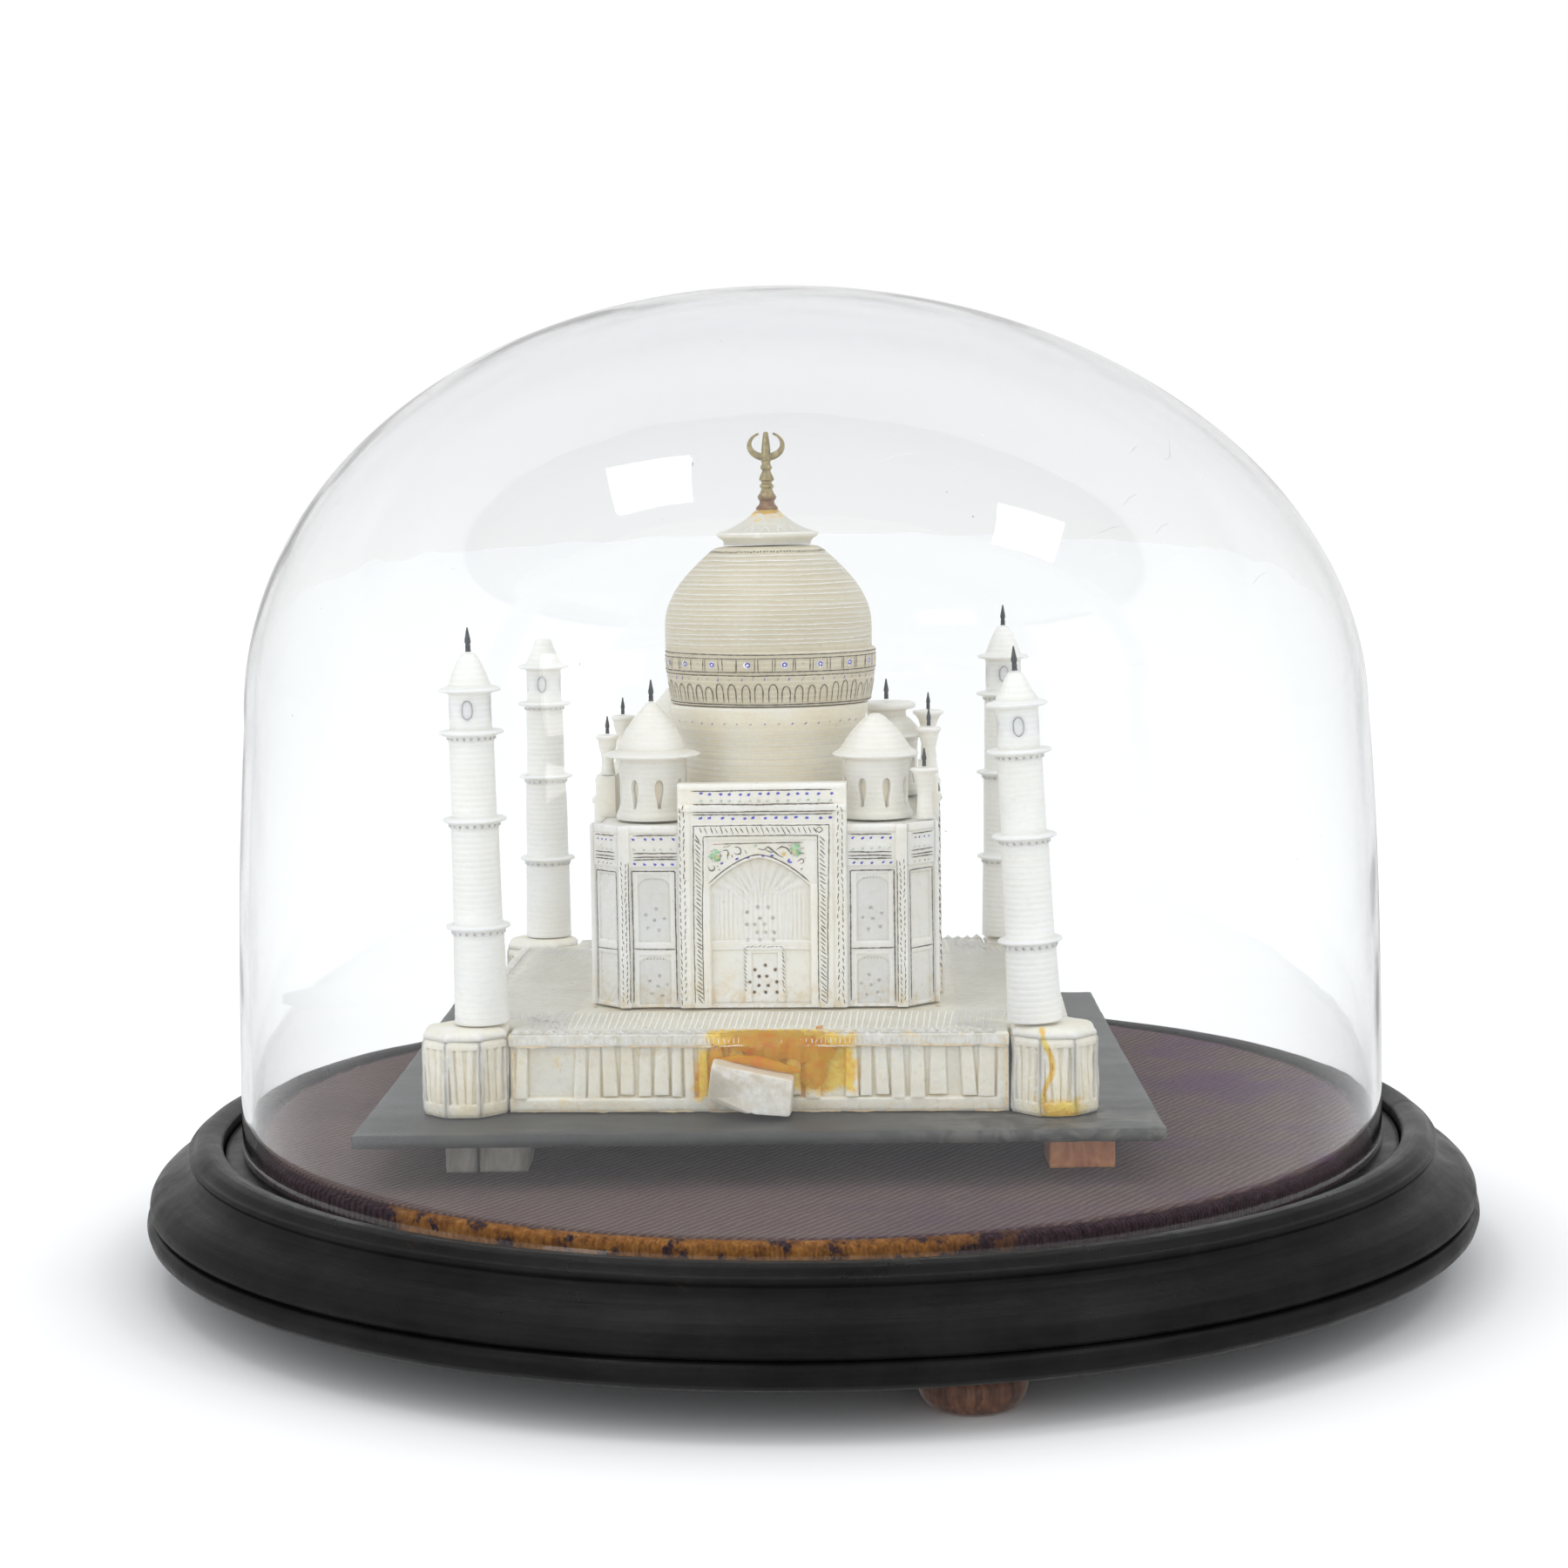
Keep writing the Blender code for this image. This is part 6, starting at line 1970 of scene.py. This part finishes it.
def make_resin():
    """Amber glue: a run over the terrace's edge above the step, with beads and drips by it, and under the finial."""

    def run(x, z):
        blobs = ((0.0, 16.0, 8.0, 3.2, 1.0), (8.0, 15.0, 7.0, 3.4, 0.8))
        blobs += ((13.0, 9.5, 3.2, 5.0, 0.8), (-10.0, 10.5, 1.8, 5.0, 0.7))
        total = 0 * x
        for middle_x, middle_z, wide, tall, strength in blobs:
            total = total + strength * np.exp(-(((x - middle_x) / wide) ** 2) - ((z - middle_z) / tall) ** 2)
        return 0.8 * np.minimum(total, 1.0) - 0.34

    def puddle(x, z):
        return 0.62 - 0.62 * ((x - 3.0) / 12.0) ** 2 - 0.15 * np.clip(z, 0, None)

    def drips(x, z):
        foot = 0.7 * np.exp(-(((z - 0.3) / 2.0) ** 2) - ((x - 0.4) / 3.0) ** 2)
        path = -2.2 - 1.1 * np.sin(z * 0.42)
        run_down = 0.4 * np.exp(-(((x - path) / 0.4) ** 2)) * (1 - smooth_step(z, 13.0, 3.0))
        return np.maximum(foot, run_down) - 0.26

    resin_film("resin_over_edge", (-16, 24), (2.5, 18.6), at(0, -WALL_FACE - 0.2, 0), amber, 301, run)
    flat = at(0, -WALL_FACE - 0.4, FLOOR_TOP - 0.30) @ Matrix.Rotation(math.radians(-90), 4, "X")
    resin_film("resin_on_floor", (-12, 20), (-0.2, 6.0), flat, pale_resin, 305, puddle)
    ridge = [(-9.5, -71.6, 12.0), (-5, -72.6, 12.6), (0, -73.2, 12.0), (5, -72.8, 10.8), (9.6, -71.8, 9.6)]
    bead("resin_behind_step", ridge, (0.4, 1.1, 1.5, 1.2, 0.4), 307)
    bead("resin_drop_floor", [(13.0, -66.2, FLOOR_TOP), (14.6, -66.0, FLOOR_TOP)], (0.25, 0.55, 0.2), 320)
    corner = in_model("bastion_front_right")
    face = at(corner.x, corner.y, 0, 3.0) @ Matrix.Translation((0, -9.75 * MM, 0))
    resin_film("resin_drips_bastion", (-4.0, 4.0), (0.1, 16.6), face, pale_resin, 309, drips)
    make_skirt()


def make_skirt():
    """Resin that welled out round the finial's foot and ran a little down the cap."""
    high = low_of("finial")
    angle = round_angles(72)
    reach_out = 0.9 + 0.7 * np.clip(ripple(311, np.cos(angle) * 4, np.sin(angle) * 4, scale=1.2), -0.8, 1)
    radii, drops = zip((2.6, 0.0), *CAP_SLOPE[:4])
    rings = []
    for share in np.linspace(0, 1, 12):
        radius = 2.3 + (reach_out + 0.4) * share
        height = high - np.interp(radius, radii, drops) - 0.28
        rings.append(np.stack([radius * np.cos(angle), radius * np.sin(angle), height + 0.34 * (1 - share**3)], 1))
    inner = rings[0] - [0, 0, 0.8]
    outer = rings[-1] - [0, 0, 0.5]
    skirt = Solid()
    tube(skirt, [inner, *rings, outer], capped=False, flip=True)
    place_piece(skirt.build("resin_under_finial", [pale_resin], MODEL, sharp=70), "model", "warm_alabaster")


# ---------------------------------------------------------------- studio

def make_world():
    """A white sweep behind, seen directly and through the glass, in a room that is greyer in reflections."""
    world = bpy.data.worlds.new("studio")
    world.use_nodes = True
    tree = world.node_tree
    path = add_node(tree, "ShaderNodeLightPath")
    way = add_node(tree, "ShaderNodeTexCoord").outputs["Generated"]
    behind = maths(tree, "MULTIPLY_ADD", axis_of(tree, "Y", way), 0.5, 0.5)
    greys = (0.0, 0.30), (0.45, 0.36), (0.60, 0.45), (0.68, 0.26), (0.88, 0.40), (0.95, 0.72), (1.0, 0.82)
    room = ramp(tree, behind, *greys)
    upward = maths(tree, "MULTIPLY_ADD", axis_of(tree, "Z", way), 0.5, 0.5)
    soft = ramp(tree, upward, (0.45, (0.72, 0.73, 0.75)), (0.9, (0.86, 0.865, 0.87)))
    from_front = maths(tree, "MULTIPLY_ADD", axis_of(tree, "Y", way), -0.52, 1.06)
    soft = blend(tree, 1.0, soft, from_front, "MULTIPLY")
    colour = blend(tree, path.outputs["Is Glossy Ray"], soft, room)
    seen = maths(tree, "MAXIMUM", path.outputs["Is Camera Ray"], path.outputs["Is Transmission Ray"])
    colour = blend(tree, seen, colour, (1.0, 1.0, 1.0))
    tree.links.new(colour, tree.nodes["Background"].inputs["Color"])
    bpy.context.scene.world = world


def make_studio():
    """A pale floor, faintly lit from itself well away from the object, and four soft lamps."""
    material, tree, shader = new_material("pale_floor")
    paint = ramp(tree, noise(tree, 400, 3), (0.3, (0.93, 0.935, 0.95)), (0.7, (0.95, 0.955, 0.965)))
    feed(tree, shader, "Base Color", paint)
    set_inputs(shader, Roughness=0.9, Specular_IOR_Level=0.1)
    # painted light: the floor glows away from the object; round it, where it does not glow, it is left darker as a
    # painted shadow
    far = climb(tree, from_axis(tree), 0.162, 17.0)
    feed(tree, shader, "Emission Strength", times(tree, far, 0.25))
    shader.inputs["Emission Color"].default_value = (1, 1, 1, 1)
    data = bpy.data.meshes.new("studio_floor")
    half = 30.0
    data.from_pydata([(-half, -half, 0), (half, -half, 0), (half, half, 0), (-half, half, 0)], [], [[0, 1, 2, 3]])
    data.materials.append(material)
    floor = bpy.data.objects.new("studio_floor", data)
    bpy.context.scene.collection.objects.link(floor)
    floor.visible_glossy = False
    make_world()

    # name, a point near the object, then the way from there to the lamp as azimuth and elevation, the lamp's spin,
    # its width and height in metres, and its radiance
    lamps = (
        ("softbox_left", (-0.033, -0.111, 0.189), 193.4, 69.3, 67.2, 0.33, 0.4, 5.0),
        ("softbox_right", (0.046, -0.114, 0.178), 343.8, 54.0, -62.2, 0.28, 0.35, 5.0),
        ("softbox_front_left", (-0.048, -0.126, 0.146), 223.0, 12.9, 10.7, 0.34, 0.62, 2.2),
        ("softbox_front_right", (0.028, -0.128, 0.161), 302.7, 37.5, -8.3, 0.28, 0.12, 0.8),
    )
    distance = 1.5
    for name, start, azimuth, elevation, spin, width, height, radiance in lamps:
        lamp = bpy.data.lights.new(name, "AREA")
        lamp.shape = "RECTANGLE"
        lamp.size = width
        lamp.size_y = height
        lamp.energy = radiance * math.pi * width * height
        rig = bpy.data.objects.new(name, lamp)
        bpy.context.scene.collection.objects.link(rig)
        turn, tilt, spin = (math.radians(value) for value in (azimuth, elevation, spin))
        back = Vector((math.cos(turn) * math.cos(tilt), math.sin(turn) * math.cos(tilt), math.sin(tilt)))
        level = Vector((-math.sin(turn), math.cos(turn), 0))
        side = math.cos(spin) * level + math.sin(spin) * back.cross(level)
        placement = Matrix((side, back.cross(side), back)).transposed().to_4x4()
        placement.translation = Vector(start) + distance * back
        rig.matrix_world = placement


def make_camera():
    """The photograph's view: from the front, a little above, with a slight roll."""
    pitch = math.radians(5.616)
    yaw = math.radians(0.058)
    roll = math.radians(-0.778)
    forward = Vector((math.sin(yaw) * math.cos(pitch), math.cos(yaw) * math.cos(pitch), -math.sin(pitch)))
    right = forward.cross(Vector((0, 0, 1))).normalized()
    up = right.cross(forward)
    across = math.cos(roll) * right + math.sin(roll) * up
    above = -math.sin(roll) * right + math.cos(roll) * up
    data = bpy.data.cameras.new("camera")
    data.sensor_width = 36.0
    data.lens = 67.5
    data.clip_start = 0.01
    camera = bpy.data.objects.new("camera", data)
    bpy.context.scene.collection.objects.link(camera)
    placement = Matrix((across, above, -forward)).transposed().to_4x4()
    placement.translation = Vector((-0.0064, -0.7250, 0.1861))
    camera.matrix_world = placement
    bpy.context.scene.camera = camera


make_camera()
make_base()
make_velvet()
make_glass()
make_slab()
make_bastions()
make_walls()
make_floor()
make_step()
make_building()
make_dome()
make_drum()
make_cap()
make_finial()
make_turrets()
make_minarets()
make_pinnacles()
make_resin()
make_studio()
bpy.context.scene.view_settings.view_transform = "Standard"
